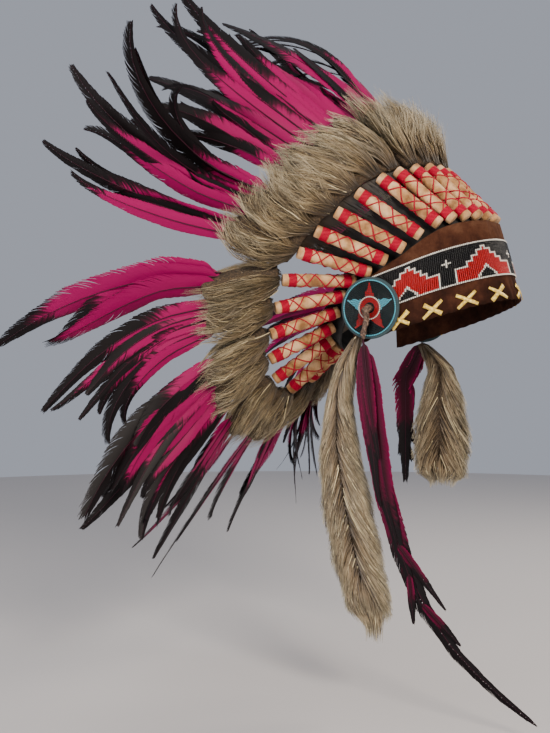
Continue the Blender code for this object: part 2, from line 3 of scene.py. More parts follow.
import bpy
import numpy as np
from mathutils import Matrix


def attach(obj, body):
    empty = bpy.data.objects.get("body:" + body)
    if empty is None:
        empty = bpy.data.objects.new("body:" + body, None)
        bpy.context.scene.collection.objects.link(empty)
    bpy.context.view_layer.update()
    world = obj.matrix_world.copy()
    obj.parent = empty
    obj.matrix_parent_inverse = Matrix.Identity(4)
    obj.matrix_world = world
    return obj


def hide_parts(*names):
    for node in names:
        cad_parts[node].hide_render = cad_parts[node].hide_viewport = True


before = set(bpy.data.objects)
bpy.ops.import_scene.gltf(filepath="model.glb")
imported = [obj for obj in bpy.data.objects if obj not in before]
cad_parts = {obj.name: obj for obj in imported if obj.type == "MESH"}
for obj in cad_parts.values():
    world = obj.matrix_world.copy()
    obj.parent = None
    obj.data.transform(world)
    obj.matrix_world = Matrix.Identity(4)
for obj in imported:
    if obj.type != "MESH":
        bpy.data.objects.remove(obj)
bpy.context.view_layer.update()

# Camera, light and floor.  A level camera at the height of the brow band looks at the wearer's right
# side from a little in front.  Large soft lamps, a pale round floor and a pale sky stand in for a studio.


def linear(code):
    """Linear colour, with its alpha of 1, of an sRGB hex code."""
    parts = [int(code[i:i + 2], 16) / 255 for i in (0, 2, 4)]
    return tuple(c / 12.92 if c <= 0.04045 else ((c + 0.055) / 1.055) ** 2.4 for c in parts) + (1.0,)


def feed(tree, node, *fed):
    """Gives each named socket of a node its value, or links the output that feeds it."""
    for socket, value in fed:
        if isinstance(value, bpy.types.NodeSocket):
            tree.links.new(value, node.inputs[socket])
        else:
            node.inputs[socket].default_value = value


def add(tree, kind, *fed, stops=(), **settings):
    """Adds a shader node with its settings, its fed sockets and the (place, colour) rows of a ramp."""
    made = tree.nodes.new("ShaderNode" + kind)
    for name, value in settings.items():
        setattr(made, name, value)
    for number, (place, code) in enumerate(stops):
        rows = made.color_ramp.elements
        stop = rows[number] if number < 2 else rows.new(place)
        stop.position, stop.color = place, linear(code)
    feed(tree, made, *fed)
    return made


def new_material(name):
    """Material with its node tree and its Principled shader."""
    made = bpy.data.materials.new(name)
    made.use_nodes = True
    return made, made.node_tree, made.node_tree.nodes["Principled BSDF"]


def aim_lamp(name, place, target, size, power, code):
    """Round soft lamp that shines from its place to a target."""
    data = bpy.data.lights.new(name, "AREA")
    data.shape, data.size, data.energy, data.color = "DISK", size, power, linear(code)[:3]
    lamp = bpy.data.objects.new(name, data)
    bpy.context.scene.collection.objects.link(lamp)
    lamp.location = place
    way = np.array(target) - np.array(place)
    flat = math.hypot(way[0], way[1])
    lamp.rotation_euler = (math.atan2(flat, -way[2]), 0, math.atan2(way[1], way[0]) - math.pi / 2)


camera_data = bpy.data.cameras.new("camera")
camera_data.lens = 52.16
camera = bpy.data.objects.new("camera", camera_data)
bpy.context.scene.collection.objects.link(camera)
camera.location = (-1.1746, -0.4275, -0.0775)
camera.rotation_euler = (math.radians(90), 0, math.radians(-61.749))
bpy.context.scene.camera = camera

# Columns: name, place, what it shines at, metres across, watts, colour
for lamp in (("key", (-1.6, -1.7, 1.1), (0, 0.1, -0.05), 0.9, 98, "fff3e4"),
             ("fill", (-1.9, 1.0, 0.0), (0, 0.1, -0.1), 1.4, 50, "f6f2f0"),
             ("top", (0.2, 0.2, 2.1), (0, 0.1, 0.0), 1.2, 7, "ffffff"),
             ("rim", (1.2, -0.6, 0.9), (0, 0.1, 0.1), 0.7, 16, "fff2e2")):
    aim_lamp(*lamp)
world = bpy.data.worlds.new("world")
bpy.context.scene.world = world
world.use_nodes = True
feed(world.node_tree, world.node_tree.nodes["Background"], ("Color", linear("c4c9d6")), ("Strength", 0.64))

FLOOR_LEVEL = -0.46
FLOOR_RADIUS = 2.6
FLOOR_MIDDLE = 0.1
PAPER_GRAIN = 0.0236
floor_mesh = bpy.data.meshes.new("floor")
turns = np.radians(np.arange(0, 360, 3))
rim = np.stack((FLOOR_RADIUS * np.cos(turns), FLOOR_MIDDLE + FLOOR_RADIUS * np.sin(turns),
                np.full(len(turns), FLOOR_LEVEL)), -1)
floor_mesh.from_pydata(rim.tolist(), [], [list(range(len(rim)))])
floor = bpy.data.objects.new("floor", floor_mesh)
bpy.context.scene.collection.objects.link(floor)
# Matt studio paper on a roll: it gives no shine, only a faint unevenness in waves of about 24 mm.
paper, tree, shader = new_material("studio_paper")
grain = add(tree, "TexNoise", ("Scale", 2 * FLOOR_RADIUS / PAPER_GRAIN), ("Detail", 3.0))
bump = add(tree, "Bump", ("Height", grain.outputs["Fac"]), ("Strength", 0.04), ("Distance", 0.001))
feed(tree, shader, ("Base Color", linear("b9b6b6")), ("Roughness", 0.9), ("Normal", bump.outputs["Normal"]))
floor_mesh.materials.append(paper)

# Crown line.  The upper edge of the ring of suede and felt that everything is sewn to: wraps, fur and
# feathers take their places and directions from it, by their number round the ring from the brow's 0.

# Columns: degrees round from the brow, share of the way down, rise and swing of the wraps and droop of
# the fur past them, all three in degrees
CROWN = np.array((
    (0, 0.000, 46, 180, 0),
    (30, 0.005, 45, 176, 0),
    (60, 0.075, 39, 165, 0),
    (85, 0.235, 30, 153, 1),
    (108, 0.420, 15, 143, 3),
    (124, 0.510, -4, 139, 4),
    (142, 0.740, -20, 140, 26),
    (160, 0.920, -33, 154, 26),
    (180, 1.000, -40, 180, 12),
))
# A head of 56 to 58 cm: half widths and the reach ahead and behind of the crown line and the lower edge
CROWN_TOP, CROWN_FALL = 0.084, 0.134
CROWN_HALF_WIDTH, CROWN_AHEAD, CROWN_BEHIND = 0.077, 0.080, 0.115
EDGE_HALF_WIDTH, EDGE_AHEAD, EDGE_BEHIND = 0.080, 0.105, 0.112
EDGE_LEVEL, EDGE_SLOPE = -0.034, math.tan(math.radians(17))
WRAP_LENGTH = 0.086
WRAP_RADIUS = 0.007
WRAP_CLEARANCE = 0.0022
FRONT_WRAPS, FRONT_PITCH = 5, 0.0163
FUR_LENGTH = 0.104


def smooth(at, values):
    """Curve through the crown table's rows at these turns."""
    xs = CROWN[:, 0]
    slopes = np.empty(len(xs))
    slopes[1:-1] = (values[2:] - values[:-2]) / (xs[2:] - xs[:-2])
    slopes[0] = (values[1] - values[0]) / (xs[1] - xs[0])
    slopes[-1] = (values[-1] - values[-2]) / (xs[-1] - xs[-2])
    i = np.clip(np.searchsorted(xs, at) - 1, 0, len(xs) - 2)
    width = xs[i + 1] - xs[i]
    t = (at - xs[i]) / width
    return ((2 * t ** 3 - 3 * t ** 2 + 1) * values[i] + (t ** 3 - 2 * t ** 2 + t) * width * slopes[i]
            + (3 * t ** 2 - 2 * t ** 3) * values[i + 1] + (t ** 3 - t ** 2) * width * slopes[i + 1])


def unit(v):
    """Vectors brought to length 1."""
    return v / np.linalg.norm(v, axis=-1, keepdims=True)


def dot(a, b):
    """Dot products, kept as a last axis of one."""
    return np.sum(a * b, axis=-1, keepdims=True)


def crown_points(turn, side):
    """Points of the crown line, this many degrees round from the brow on a side."""
    t = np.radians(turn)
    reach = np.where(turn < 90, CROWN_AHEAD, CROWN_BEHIND)
    return np.stack((side * CROWN_HALF_WIDTH * np.sin(t), -reach * np.cos(t),
                     CROWN_TOP - CROWN_FALL * smooth(turn, CROWN[:, 1])), -1)


def lower_points(turn, side):
    """Points of the band's lower edge."""
    t = np.radians(turn)
    y = -np.where(turn < 90, EDGE_AHEAD, EDGE_BEHIND) * np.cos(t)
    return np.stack((side * EDGE_HALF_WIDTH * np.sin(t), y, EDGE_LEVEL - y * EDGE_SLOPE), -1)


def crown_directions(turn, side):
    """Directions along a wrap, across it towards the nape on the left side, and outwards."""
    rise = np.radians(smooth(turn, CROWN[:, 2]))
    swing = np.radians(smooth(turn, CROWN[:, 3]))
    along = np.stack((side * np.sin(swing) * np.cos(rise), -np.cos(swing) * np.cos(rise), np.sin(rise)), -1)
    tangent = crown_points(np.minimum(turn + 0.5, 180), side) - crown_points(np.maximum(turn - 0.5, 0), side)
    tangent = unit(tangent - along * dot(tangent, along))
    outward = unit(np.cross(along, tangent) * -np.asarray(side)[..., None])
    return along, tangent * np.asarray(side)[..., None], outward


degrees = np.arange(181.0)
ring = crown_points(degrees, 1.0)
arcs = np.concatenate(((0,), np.cumsum(np.linalg.norm(np.diff(ring, axis=0), axis=1))))
side_pitch = (arcs[-1] - FRONT_WRAPS * FRONT_PITCH) / 10

# One row every tenth of a wrap: point, directions, end of the wraps, droop
places = np.round(np.arange(-16.6, 16.61, 0.1), 3)
arc = (np.minimum(abs(places), FRONT_WRAPS) * FRONT_PITCH
       + np.maximum(abs(places) - FRONT_WRAPS, 0) * side_pitch)
arc = np.where(arc > arcs[-1], 2 * arcs[-1] - arc, arc)
turn_at = np.interp(arc, arcs, degrees)
side_at = np.where(places < 0, -1.0, 1.0) * np.where(abs(places) > 15, -1.0, 1.0)
feet = crown_points(turn_at, side_at)
alongs, acrosses, outwards = crown_directions(turn_at, side_at)
starts = np.zeros(len(places))
for step in range(-8, 9):
    near = np.clip(turn_at + step, 0, 180)
    edge = crown_points(near, side_at) - feet
    beside_it = abs(dot(edge, acrosses)[:, 0]) < WRAP_RADIUS
    inside = (turn_at + step >= 0) & (turn_at + step <= 180)
    starts = np.where(beside_it & inside, np.maximum(starts, dot(edge, alongs)[:, 0]), starts)
starts += WRAP_CLEARANCE
droops = np.radians(smooth(turn_at, CROWN[:, 4]))
downs = unit(np.array((0, 0, -1.0)) + alongs * alongs[:, 2:3])


def at_place(place, table):
    """Rows of a table, one for each of the places, at any places between them."""
    place = np.asarray(place)
    if table.ndim == 1:
        return np.interp(place, places, table)
    return np.stack([np.interp(place, places, table[:, k]) for k in range(table.shape[1])], -1)


def past_wraps(place, past, out):
    """Points this far past the ends of the wraps, bending down with the droop, and out from the sheet."""
    foot, along = at_place(place, feet), unit(at_place(place, alongs))
    across, down = unit(at_place(place, acrosses)), at_place(place, downs)
    end = at_place(place, starts) + WRAP_LENGTH
    rate = np.maximum(at_place(place, droops), 1e-4) / FUR_LENGTH
    curved = np.clip(past, 0, FUR_LENGTH)
    straight = np.maximum(past - curved, 0)
    angle = rate * curved
    forward = np.sin(angle) / rate + straight * np.cos(angle) + np.minimum(past, 0)
    fall = (1 - np.cos(angle)) / rate + straight * np.sin(angle)
    heading = along * np.cos(angle)[..., None] + down * np.sin(angle)[..., None]
    across = unit(across - heading * dot(across, heading))
    normal = unit(np.cross(across, heading))
    normal = normal * np.sign(dot(normal, at_place(place, outwards)))
    point = foot + along * (end + forward)[..., None] + down * fall[..., None]
    return point + normal * np.asarray(out)[..., None], heading, across, normal

# Brow band.  Heavy brown suede round the brow and the temples, its lower edge folded and stitched,
# with a slight pucker at each stitch.  The bead strip and the gold lacing are sewn on it.

# Degrees round from the brow to each end of the band
BAND_END = 126.0
BAND_THICKNESS = 0.0023
BAND_FACE = 0.00125
PUCKERS = 36
PUCKER_DEPTH = 0.0004
WRINKLE_DEPTH = 0.00022


def make_piece(name, points, faces, slot, material, nodes=(), smooth_faces=True, **layers):
    """Mesh piece from arrays.  Layers are point attributes that the materials read."""
    mesh = bpy.data.meshes.new(name)
    points = np.asarray(points, np.float32).reshape(-1, 3)
    sizes = np.array([len(face) for face in faces])
    loops = np.concatenate(faces).astype(np.int32)
    mesh.vertices.add(len(points))
    mesh.vertices.foreach_set("co", points.ravel())
    mesh.loops.add(len(loops))
    mesh.loops.foreach_set("vertex_index", loops)
    mesh.polygons.add(len(sizes))
    mesh.polygons.foreach_set("loop_start", np.concatenate(((0,), np.cumsum(sizes)[:-1])).astype(np.int32))
    mesh.update(calc_edges=True)
    for layer, values in layers.items():
        made = mesh.attributes.new(layer, "FLOAT", "POINT")
        made.data.foreach_set("value", np.asarray(values, np.float32).ravel())
    if smooth_faces:
        mesh.shade_smooth()
    mesh.materials.append(material)
    piece = bpy.data.objects.new(name, mesh)
    bpy.context.scene.collection.objects.link(piece)
    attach(piece, "root")
    if nodes:
        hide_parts(*nodes)


def closed_slab(under, over):
    """Closed body between two grids of points, rows by columns."""
    rows, cols = under.shape[:2]
    index = np.arange(rows * cols).reshape(rows, cols)
    a, b, c, d = index[:-1, :-1], index[:-1, 1:], index[1:, 1:], index[1:, :-1]
    faces = [np.stack((a, d, c, b), -1).reshape(-1, 4),
             np.stack((a, b, c, d), -1).reshape(-1, 4) + rows * cols]
    for edge, flip in ((index[0], 1), (index[-1], -1), (index[:, 0], -1), (index[:, -1], 1)):
        quads = np.stack((edge[:-1], edge[1:], edge[1:] + rows * cols, edge[:-1] + rows * cols), -1)
        faces.append(quads[:, ::flip])
    return np.concatenate((under.reshape(-1, 3), over.reshape(-1, 3))), np.concatenate(faces)


def band_grid(signed, heights):
    """Points and outward normals on the band's mid surface, a row for each height as a share."""
    side = np.where(signed < 0, -1.0, 1.0)
    low, top = lower_points(abs(signed), side), crown_points(abs(signed), side)
    ahead = lower_points(abs(signed) + 0.5, side) - lower_points(np.maximum(abs(signed) - 0.5, 0), side)
    normal = unit(np.cross(top - low, ahead) * side[:, None])
    normal = normal * np.sign(dot(normal, np.concatenate((low[:, :2], 0 * low[:, 2:]), -1)))
    grid = low[None] + (top - low)[None] * np.asarray(heights)[:, None, None]
    return grid, np.broadcast_to(normal, grid.shape), top - low


signed = np.linspace(-BAND_END, BAND_END, 289)
heights = np.linspace(0, 1, 15)
grid, normal, rise = band_grid(signed, heights)
pucker = np.cos(signed / BAND_END * PUCKERS * np.pi)
wrinkle = sum(WRINKLE_DEPTH * np.sin(signed[None] * f + heights[:, None] * g + p)
              for f, g, p in ((0.21, 5, 1), (0.47, -3, 2), (0.9, 8, 0)))
fade = np.exp(-heights * 9)[:, None]
outer = grid + normal * (BAND_FACE + wrinkle + PUCKER_DEPTH * pucker * fade)[..., None]
outer -= unit(rise)[None] * (PUCKER_DEPTH * (1 - pucker) * fade)[..., None]
points, faces = closed_slab(outer - normal * BAND_THICKNESS, outer)

# Suede is leather with its fibres brushed up, so it takes almost no shine.  Its nap, drawn 0.7 mm
# across, is rubbed paler in patches of about 24 mm, and painted shade darkens it steadily from the top
# of the band down to its lower edge.
suede, tree, shader = new_material("suede")
place = ("Vector", add(tree, "TexCoord").outputs["Object"])
patch = add(tree, "TexNoise", place, ("Scale", 1000 / 23.8), ("Detail", 8.0), ("Roughness", 0.72))
nap = add(tree, "TexNoise", place, ("Scale", 1000 / 0.714), ("Detail", 3.0))
up = add(tree, "Attribute", attribute_name="up")
# Painted shade: the colour grows lighter up the band and darker towards its lower edge.
painted_height_shade = add(tree, "Math", (0, up.outputs["Fac"]), (1, 0.22), operation="MULTIPLY")
wear_and_painted_shade = add(tree, "Math", (0, patch.outputs["Fac"]), (1, 0.9), (2, painted_height_shade.outputs[0]),
           operation="MULTIPLY_ADD")
colour = add(tree, "ValToRGB", ("Fac", wear_and_painted_shade.outputs[0]),
             stops=((0.32, "150c09"), (0.50, "2d1811"), (0.64, "402519"), (0.84, "573a29")))
fine = add(tree, "Bump", ("Height", nap.outputs["Fac"]), ("Strength", 0.9), ("Distance", 0.0005))
coarse = add(tree, "Bump", ("Height", patch.outputs["Fac"]), ("Strength", 0.5), ("Distance", 0.001),
             ("Normal", fine.outputs["Normal"]))
feed(tree, shader, ("Base Color", colour.outputs["Color"]), ("Roughness", 1.0), ("Specular IOR Level", 0.08),
     ("Sheen Weight", 0.10), ("Sheen Tint", linear("a06a45")), ("Normal", coarse.outputs["Normal"]))
make_piece("suede_band", points, faces, "brow_band", suede, ("brow_band",),
           up=np.tile(np.repeat(heights, len(signed)), 2))

# Crown strip.  Thick charcoal felt, cut as a strip and sewn in behind the band.  It lines the band,
# closes the ring at the nape and backs the wraps, and it shows between them.


def mottled_material(name, patch, stops, look, nap=(), bump=()):
    """Material coloured in patches by one noise and, where a bump is given, raised by another, or by
    the same where it has no nap of its own.  Each noise's scale is 1000 over the millimetres across its
    lumps."""
    made, tree, shader = new_material(name)
    place = ("Vector", add(tree, "TexCoord").outputs["Object"])
    patches = add(tree, "TexNoise", place, *patch)
    colour = add(tree, "ValToRGB", ("Fac", patches.outputs["Fac"]), stops=stops)
    feed(tree, shader, ("Base Color", colour.outputs["Color"]), *look)
    if bump:
        height = add(tree, "TexNoise", place, *nap) if nap else patches
        raised = add(tree, "Bump", ("Height", height.outputs["Fac"]), *bump)
        feed(tree, shader, ("Normal", raised.outputs["Normal"]))
    return made


# Wool felt lies every way and takes no shine, so its black reads as a soft dark grey, in patches of
# about 25 mm where it is rubbed.  Its grey is also made darker than the felt's own, as painted shade
# for the gaps between the wraps where it shows.  Its tufts of fibre are drawn 1.1 mm across.
felt = mottled_material("charcoal_felt_gap_shade", (("Scale", 1000 / 25), ("Detail", 4.0)),
                        ((0.35, "181716"), (0.6, "292828"), (0.8, "3c3d3d")),
                        (("Roughness", 0.95), ("Specular IOR Level", 0.1), ("Sheen Weight", 0.1)),
                        (("Scale", 1000 / 1.11), ("Detail", 4.0)), (("Strength", 0.6), ("Distance", 0.0005)))
strip_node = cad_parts["crown_strip"]
strip_node.data.materials.clear()
strip_node.data.materials.append(felt)

# Bead strip.  Glass seed beads woven on a loom: upright strings of beads between thread warps, white
# edge rows, a black field, and red stepped hills with a white outline and a dark notch.

BEAD_ACROSS = 0.002225
BEAD_UP = 0.00175
BEAD_ROWS = 24
# Degrees round from the brow to each end of the strip
STRIP_END = 112
STRIP_FOOT = 0.027
STRIP_HEIGHT = BEAD_ROWS * BEAD_UP
BEAD_STAND = 0.00245
BLACK, WHITE, RED, TURQUOISE = range(4)
# Beads from one stepped hill to the next, and the rows that its steps reach, from its middle outwards
HILL_PERIOD = 40
HILL_STEPS = (20, 18, 15, 12, 9, 9)


def skin(rows, around):
    """Faces of a tube that has rows of points, each this many around."""
    row, k = np.meshgrid(np.arange(rows - 1), np.arange(around), indexing="ij")
    a, b = row * around + k, row * around + (k + 1) % around
    return np.stack((a, b, b + around, a + around), -1).reshape(-1, 4)


def end_caps(rows, around):
    """The two faces that close the ends of such a tube."""
    first = np.arange(around)
    return np.stack((first[::-1], first + (rows - 1) * around))


def strip_bead(column, row):
    """Colour number of one bead: white edge rows, small crosses between the hills, and the hills."""
    beside = abs((column + HILL_PERIOD // 2) % HILL_PERIOD - HILL_PERIOD // 2)
    on_cross = (beside == 0 and 12 <= row <= 16) or (row == 14 and beside <= 2)
    if row in (0, BEAD_ROWS - 1) or on_cross:
        return WHITE
    off = abs((column % HILL_PERIOD) - HILL_PERIOD // 2)
    top = HILL_STEPS[(off + 1) // 3 if off < 14 else 5]
    next_top = HILL_STEPS[(off + 2) // 3 if off < 13 else 5]
    notch = 8 - off * 1.25
    if off > 16 or row < notch - 1 or (row > top and row >= notch + 0.3):
        return BLACK
    if row < notch + 0.3 or row == top or off == 16 or (row >= next_top and row > 1):
        return WHITE
    return RED


def place_beads(centres, ups, outs, tints, size=1.0, seed=5, sides=6):
    """A short barrel at each centre, standing along up, with a tint number for each."""
    rng = np.random.default_rng(seed)
    radius, length = BEAD_ACROSS * 0.435, BEAD_UP * 0.96
    angle = 2 * np.pi * np.arange(sides) / sides
    bead = np.concatenate([np.stack((radius * share * np.cos(angle), radius * share * np.sin(angle),
                                     np.full(sides, height * length)), -1)
                           for height, share in ((-0.5, 0.70), (0.0, 1.04), (0.5, 0.70))])
    local = bead[None] * (1 + rng.normal(0, 0.035, (len(centres), 1, 1))) * size
    made = (centres[:, None] + local[..., 0:1] * np.cross(ups, outs)[:, None]
            + local[..., 1:2] * outs[:, None] + local[..., 2:3] * ups[:, None])
    faces = skin(3, sides)[None] + np.arange(len(centres))[:, None, None] * len(bead)
    return made.reshape(-1, 3), faces.reshape(-1, 4), {"tint": np.repeat(tints, len(bead))}


def glass_bead_material(name, *colours):
    """Glass coloured through, a colour for each tint number.  Its holes and its many rounded ends break
    the shine up and shade one another; that shade is painted into each bead as a colour darkened a
    little, and each bead gives a small soft light."""
    made, tree, shader = new_material(name)
    tint = add(tree, "Attribute", attribute_name="tint")
    spot = add(tree, "Math", (0, tint.outputs["Fac"]), (1, 1.0 / len(colours)), (2, 0.5 / len(colours)),
               operation="MULTIPLY_ADD")
    hues = add(tree, "ValToRGB", ("Fac", spot.outputs[0]),
               stops=[(i / len(colours), code) for i, code in enumerate(colours)])
    hues.color_ramp.interpolation = "CONSTANT"
    # Painted shade: every bead's colour is darkened to 0.66 of its value.
    bead_painted_shade = add(tree, "HueSaturation", ("Color", hues.outputs["Color"]), ("Value", 0.66))
    feed(tree, shader, ("Base Color", bead_painted_shade.outputs["Color"]), ("Roughness", 0.24),
         ("Specular IOR Level", 0.22), ("Coat Weight", 0.10), ("Coat Roughness", 0.10))
    return made


fine = np.linspace(-STRIP_END, STRIP_END, 449)
low, out, rise = band_grid(fine, (0,))
middle_line = low[0] + unit(rise) * (STRIP_FOOT + STRIP_HEIGHT / 2)
strip_arc = np.concatenate(((0,), np.cumsum(np.linalg.norm(np.diff(middle_line, axis=0), axis=1))))
strip_arc -= np.interp(0, fine, strip_arc)
last = int(min(strip_arc[-1], -strip_arc[0]) / BEAD_ACROSS)
columns = np.arange(-last, last + 1)
low, out, rise = band_grid(np.interp(columns * BEAD_ACROSS, strip_arc, fine), (0,))
ups = unit(rise)
centres = np.concatenate([low[0] + ups * (STRIP_FOOT + BEAD_UP * (row + 0.5)) + out[0] * BEAD_STAND
                          for row in range(BEAD_ROWS)])
tints = np.array([strip_bead(int(column), row) for row in range(BEAD_ROWS) for column in columns], float)
points, faces, layers = place_beads(centres, np.tile(ups, (BEAD_ROWS, 1)), np.tile(out[0], (BEAD_ROWS, 1)),
                                    tints)
make_piece("bead_weave", points, faces, "bead_strip",
           glass_bead_material("strip_beads", "030203", "f4efe4", "b80c12"), (), **layers)

# The warp and its backing cloth are painted near black and matt, as painted shade between the beads,
# with threads about 0.8 mm thick.
backing = mottled_material("strip_backing_painted_shade", (("Scale", 1000 / 0.833), ("Detail", 2.0)),
                           ((0.3, "020203"), (0.7, "0a090b")),
                           (("Roughness", 0.95), ("Specular IOR Level", 0.1)))
grid, out, rise = band_grid(np.linspace(-STRIP_END, STRIP_END, 121), (0,))
foot = grid[0] + unit(rise) * (STRIP_FOOT + 0.0006)
head = foot + unit(rise) * (STRIP_HEIGHT - 0.0012)
sections = np.stack((foot + out[0] * 0.0015, foot + out[0] * 0.0023, head + out[0] * 0.0023,
                     head + out[0] * 0.0015), 1)
faces = np.concatenate((skin(len(sections), 4), end_caps(len(sections), 4)))
make_piece("strip_backing_painted_shade", sections, faces, "bead_strip", backing, ("bead_strip",), smooth_faces=False)

# Gold lacing.  Flat strips of pale gold leather, crossed in pairs along the lower edge of the band.
# Each cross is stitched through the suede at its four ends and grips the edge.

CROSSES_A_SIDE, CROSS_PITCH, CROSS_SHIFT = 4, 0.0385, 0.006
CROSS_FOOT, CROSS_HEIGHT = 0.0012, 0.0145
LACE_LENGTH, LACE_WIDTH, LACE_THICKNESS = 0.0215, 0.0040, 0.0008


def joined(parts):
    """Joins (points, faces, layers) meshes with equal face sizes into one."""
    points, faces, layers, start = [], [], {}, 0
    for p, f, more in parts:
        points.append(p)
        faces.append(f + start)
        for key, values in more.items():
            layers.setdefault(key, []).append(values)
        start += len(p)
    return np.concatenate(points), np.concatenate(faces), {k: np.concatenate(v) for k, v in layers.items()}


# Gold kid leather has a thin metal-like coat that shines in its creases and rubs off to tan on its
# high spots, so the colour runs from straw to ochre in patches of 2.4 mm.
gold = mottled_material("gold_lacing", (("Scale", 1000 / 2.38), ("Detail", 4.0)),
                        ((0.32, "b08a34"), (0.52, "dcb94e"), (0.72, "f4e08a")),
                        (("Roughness", 0.42), ("Metallic", 0.15)),
                        bump=(("Strength", 0.4), ("Distance", 0.0003)))
edge = band_grid(fine, (0,))[0][0]
edge_arc = np.concatenate(((0,), np.cumsum(np.linalg.norm(np.diff(edge, axis=0), axis=1))))
edge_arc -= np.interp(0, fine, edge_arc)
parts = []
t = np.linspace(0, 1, 9)
for number in range(-CROSSES_A_SIDE, CROSSES_A_SIDE + 1):
    middle = number * CROSS_PITCH + (CROSS_SHIFT if number == 0 else 0)
    # The second strip of a cross leans the other way and lies over the first.
    for lean, stand in ((1, 0.0014), (-1, 0.0021)):
        long = LACE_LENGTH + 0.002 * math.sin(number * 2.3 + lean)
        base, out, rise = band_grid(np.interp(middle + lean * (t - 0.5) * long, edge_arc, fine), (0,))
        out = out[0]
        lift = CROSS_FOOT + t * CROSS_HEIGHT
        hump = 0.0006 * np.sin(np.pi * t)
        path = base[0] + unit(rise) * lift[:, None] + out * (stand + hump)[:, None]
        flare = 0.0014 * abs(2 * t - 1) ** 1.5 * np.cos(number * 1.7 + lean)
        half = unit(np.cross(unit(np.gradient(path, axis=0)), out)) * ((LACE_WIDTH + flare) / 2)[:, None]
        thick = out * LACE_THICKNESS
        sections = np.stack((path - half, path + half, path + half + thick, path - half + thick), 1)
        parts.append((sections.reshape(-1, 3), np.concatenate((skin(9, 4), end_caps(9, 4))), {}))
points, faces, layers = joined(parts)
make_piece("gold_lacing", points, faces, "brow_band", gold, (), smooth_faces=False)

# Wraps.  A roll of tan felt round the quill of each feather, wound with red thread near both ends,
# with red threads crossing up the roll between the windings.

# Columns: distance along the roll, radius as a share; the dents are where the thread pulls it in
ROLL_PROFILE = ((0.0, 0.30), (0.0002, 0.84), (0.0009, 0.97), (0.004, 1.0), (0.0062, 0.99), (0.0112, 0.97),
                (0.0162, 0.99), (0.024, 1.0), (0.034, 1.01), (0.043, 1.0), (0.052, 1.01), (0.062, 1.0),
                (0.0698, 0.99), (0.0748, 0.97), (0.0798, 0.99), (0.082, 1.0), (0.0851, 0.97),
                (0.0858, 0.84), (0.086, 0.30))
ROLL_SIDES = 20
WINDINGS = ((0.0068, 0.0156), (0.0704, 0.0792))
WOUND_RADIUS, CROSSING_RADIUS = 0.00056, 0.00078
# Columns: where round the roll each crossing thread starts, in radians, and its turns
CROSSINGS = ((0.0, 1.5), (2.1, -1.5), (4.2, 1.5), (5.3, -1.5))

# Tan wool felt: no shine, tufts of fibre about 0.9 mm across, and soil and handling that leave it
# browner in patches of about 17 mm.
rolled = mottled_material("rolled_felt", (("Scale", 1000 / 16.67), ("Detail", 5.0)),
                          ((0.34, "7a5433"), (0.47, "a87d52"), (0.60, "c8a075"), (0.75, "d8b68e")),
                          (("Roughness", 0.95), ("Specular IOR Level", 0.1), ("Sheen Weight", 0.12)),
                          (("Scale", 1000 / 0.909), ("Detail", 4.0)),
                          (("Strength", 0.9), ("Distance", 0.0006)))
# Waxed cotton thread, nearly matt, with darker spots about 0.5 mm apart that are painted shade for
# the grooves of its ply.
red_thread = mottled_material("red_thread", (("Scale", 1000 / 0.4545), ("Detail", 2.0)),
                              ((0.3, "700018"), (0.55, "a00028"), (0.8, "c0083a")),
                              (("Roughness", 0.65), ("Specular IOR Level", 0.15)))


def tube(path, radius, sides):
    """Open tube round a path, with a radius at each point."""
    path = np.asarray(path, float)
    way = unit(np.gradient(path, axis=0))
    first = np.array((0.3, 0.5, 0.81))
    angle = 2 * np.pi * np.arange(sides)[:, None] / sides
    rows = []
    for p, w, r in zip(path, way, np.broadcast_to(radius, len(path))):
        first = unit(first - w * np.dot(first, w))
        rows.append(p + r * (np.cos(angle) * first + np.sin(angle) * np.cross(w, first)))
    return np.concatenate(rows), skin(len(path), sides)


def wrap_name(number):
    """Name of a roll, counted to the left from the brow's 0 and to the right as minus."""
    if number in (0, 15):
        return "wrap_nape" if number else "wrap_centre"
    return "wrap_%s_%02d" % ("left" if number > 0 else "right", abs(number))


def around(angle, across, outward):
    """Directions out of a roll at these angles round it."""
    return np.cos(angle)[:, None] * across + np.sin(angle)[:, None] * outward


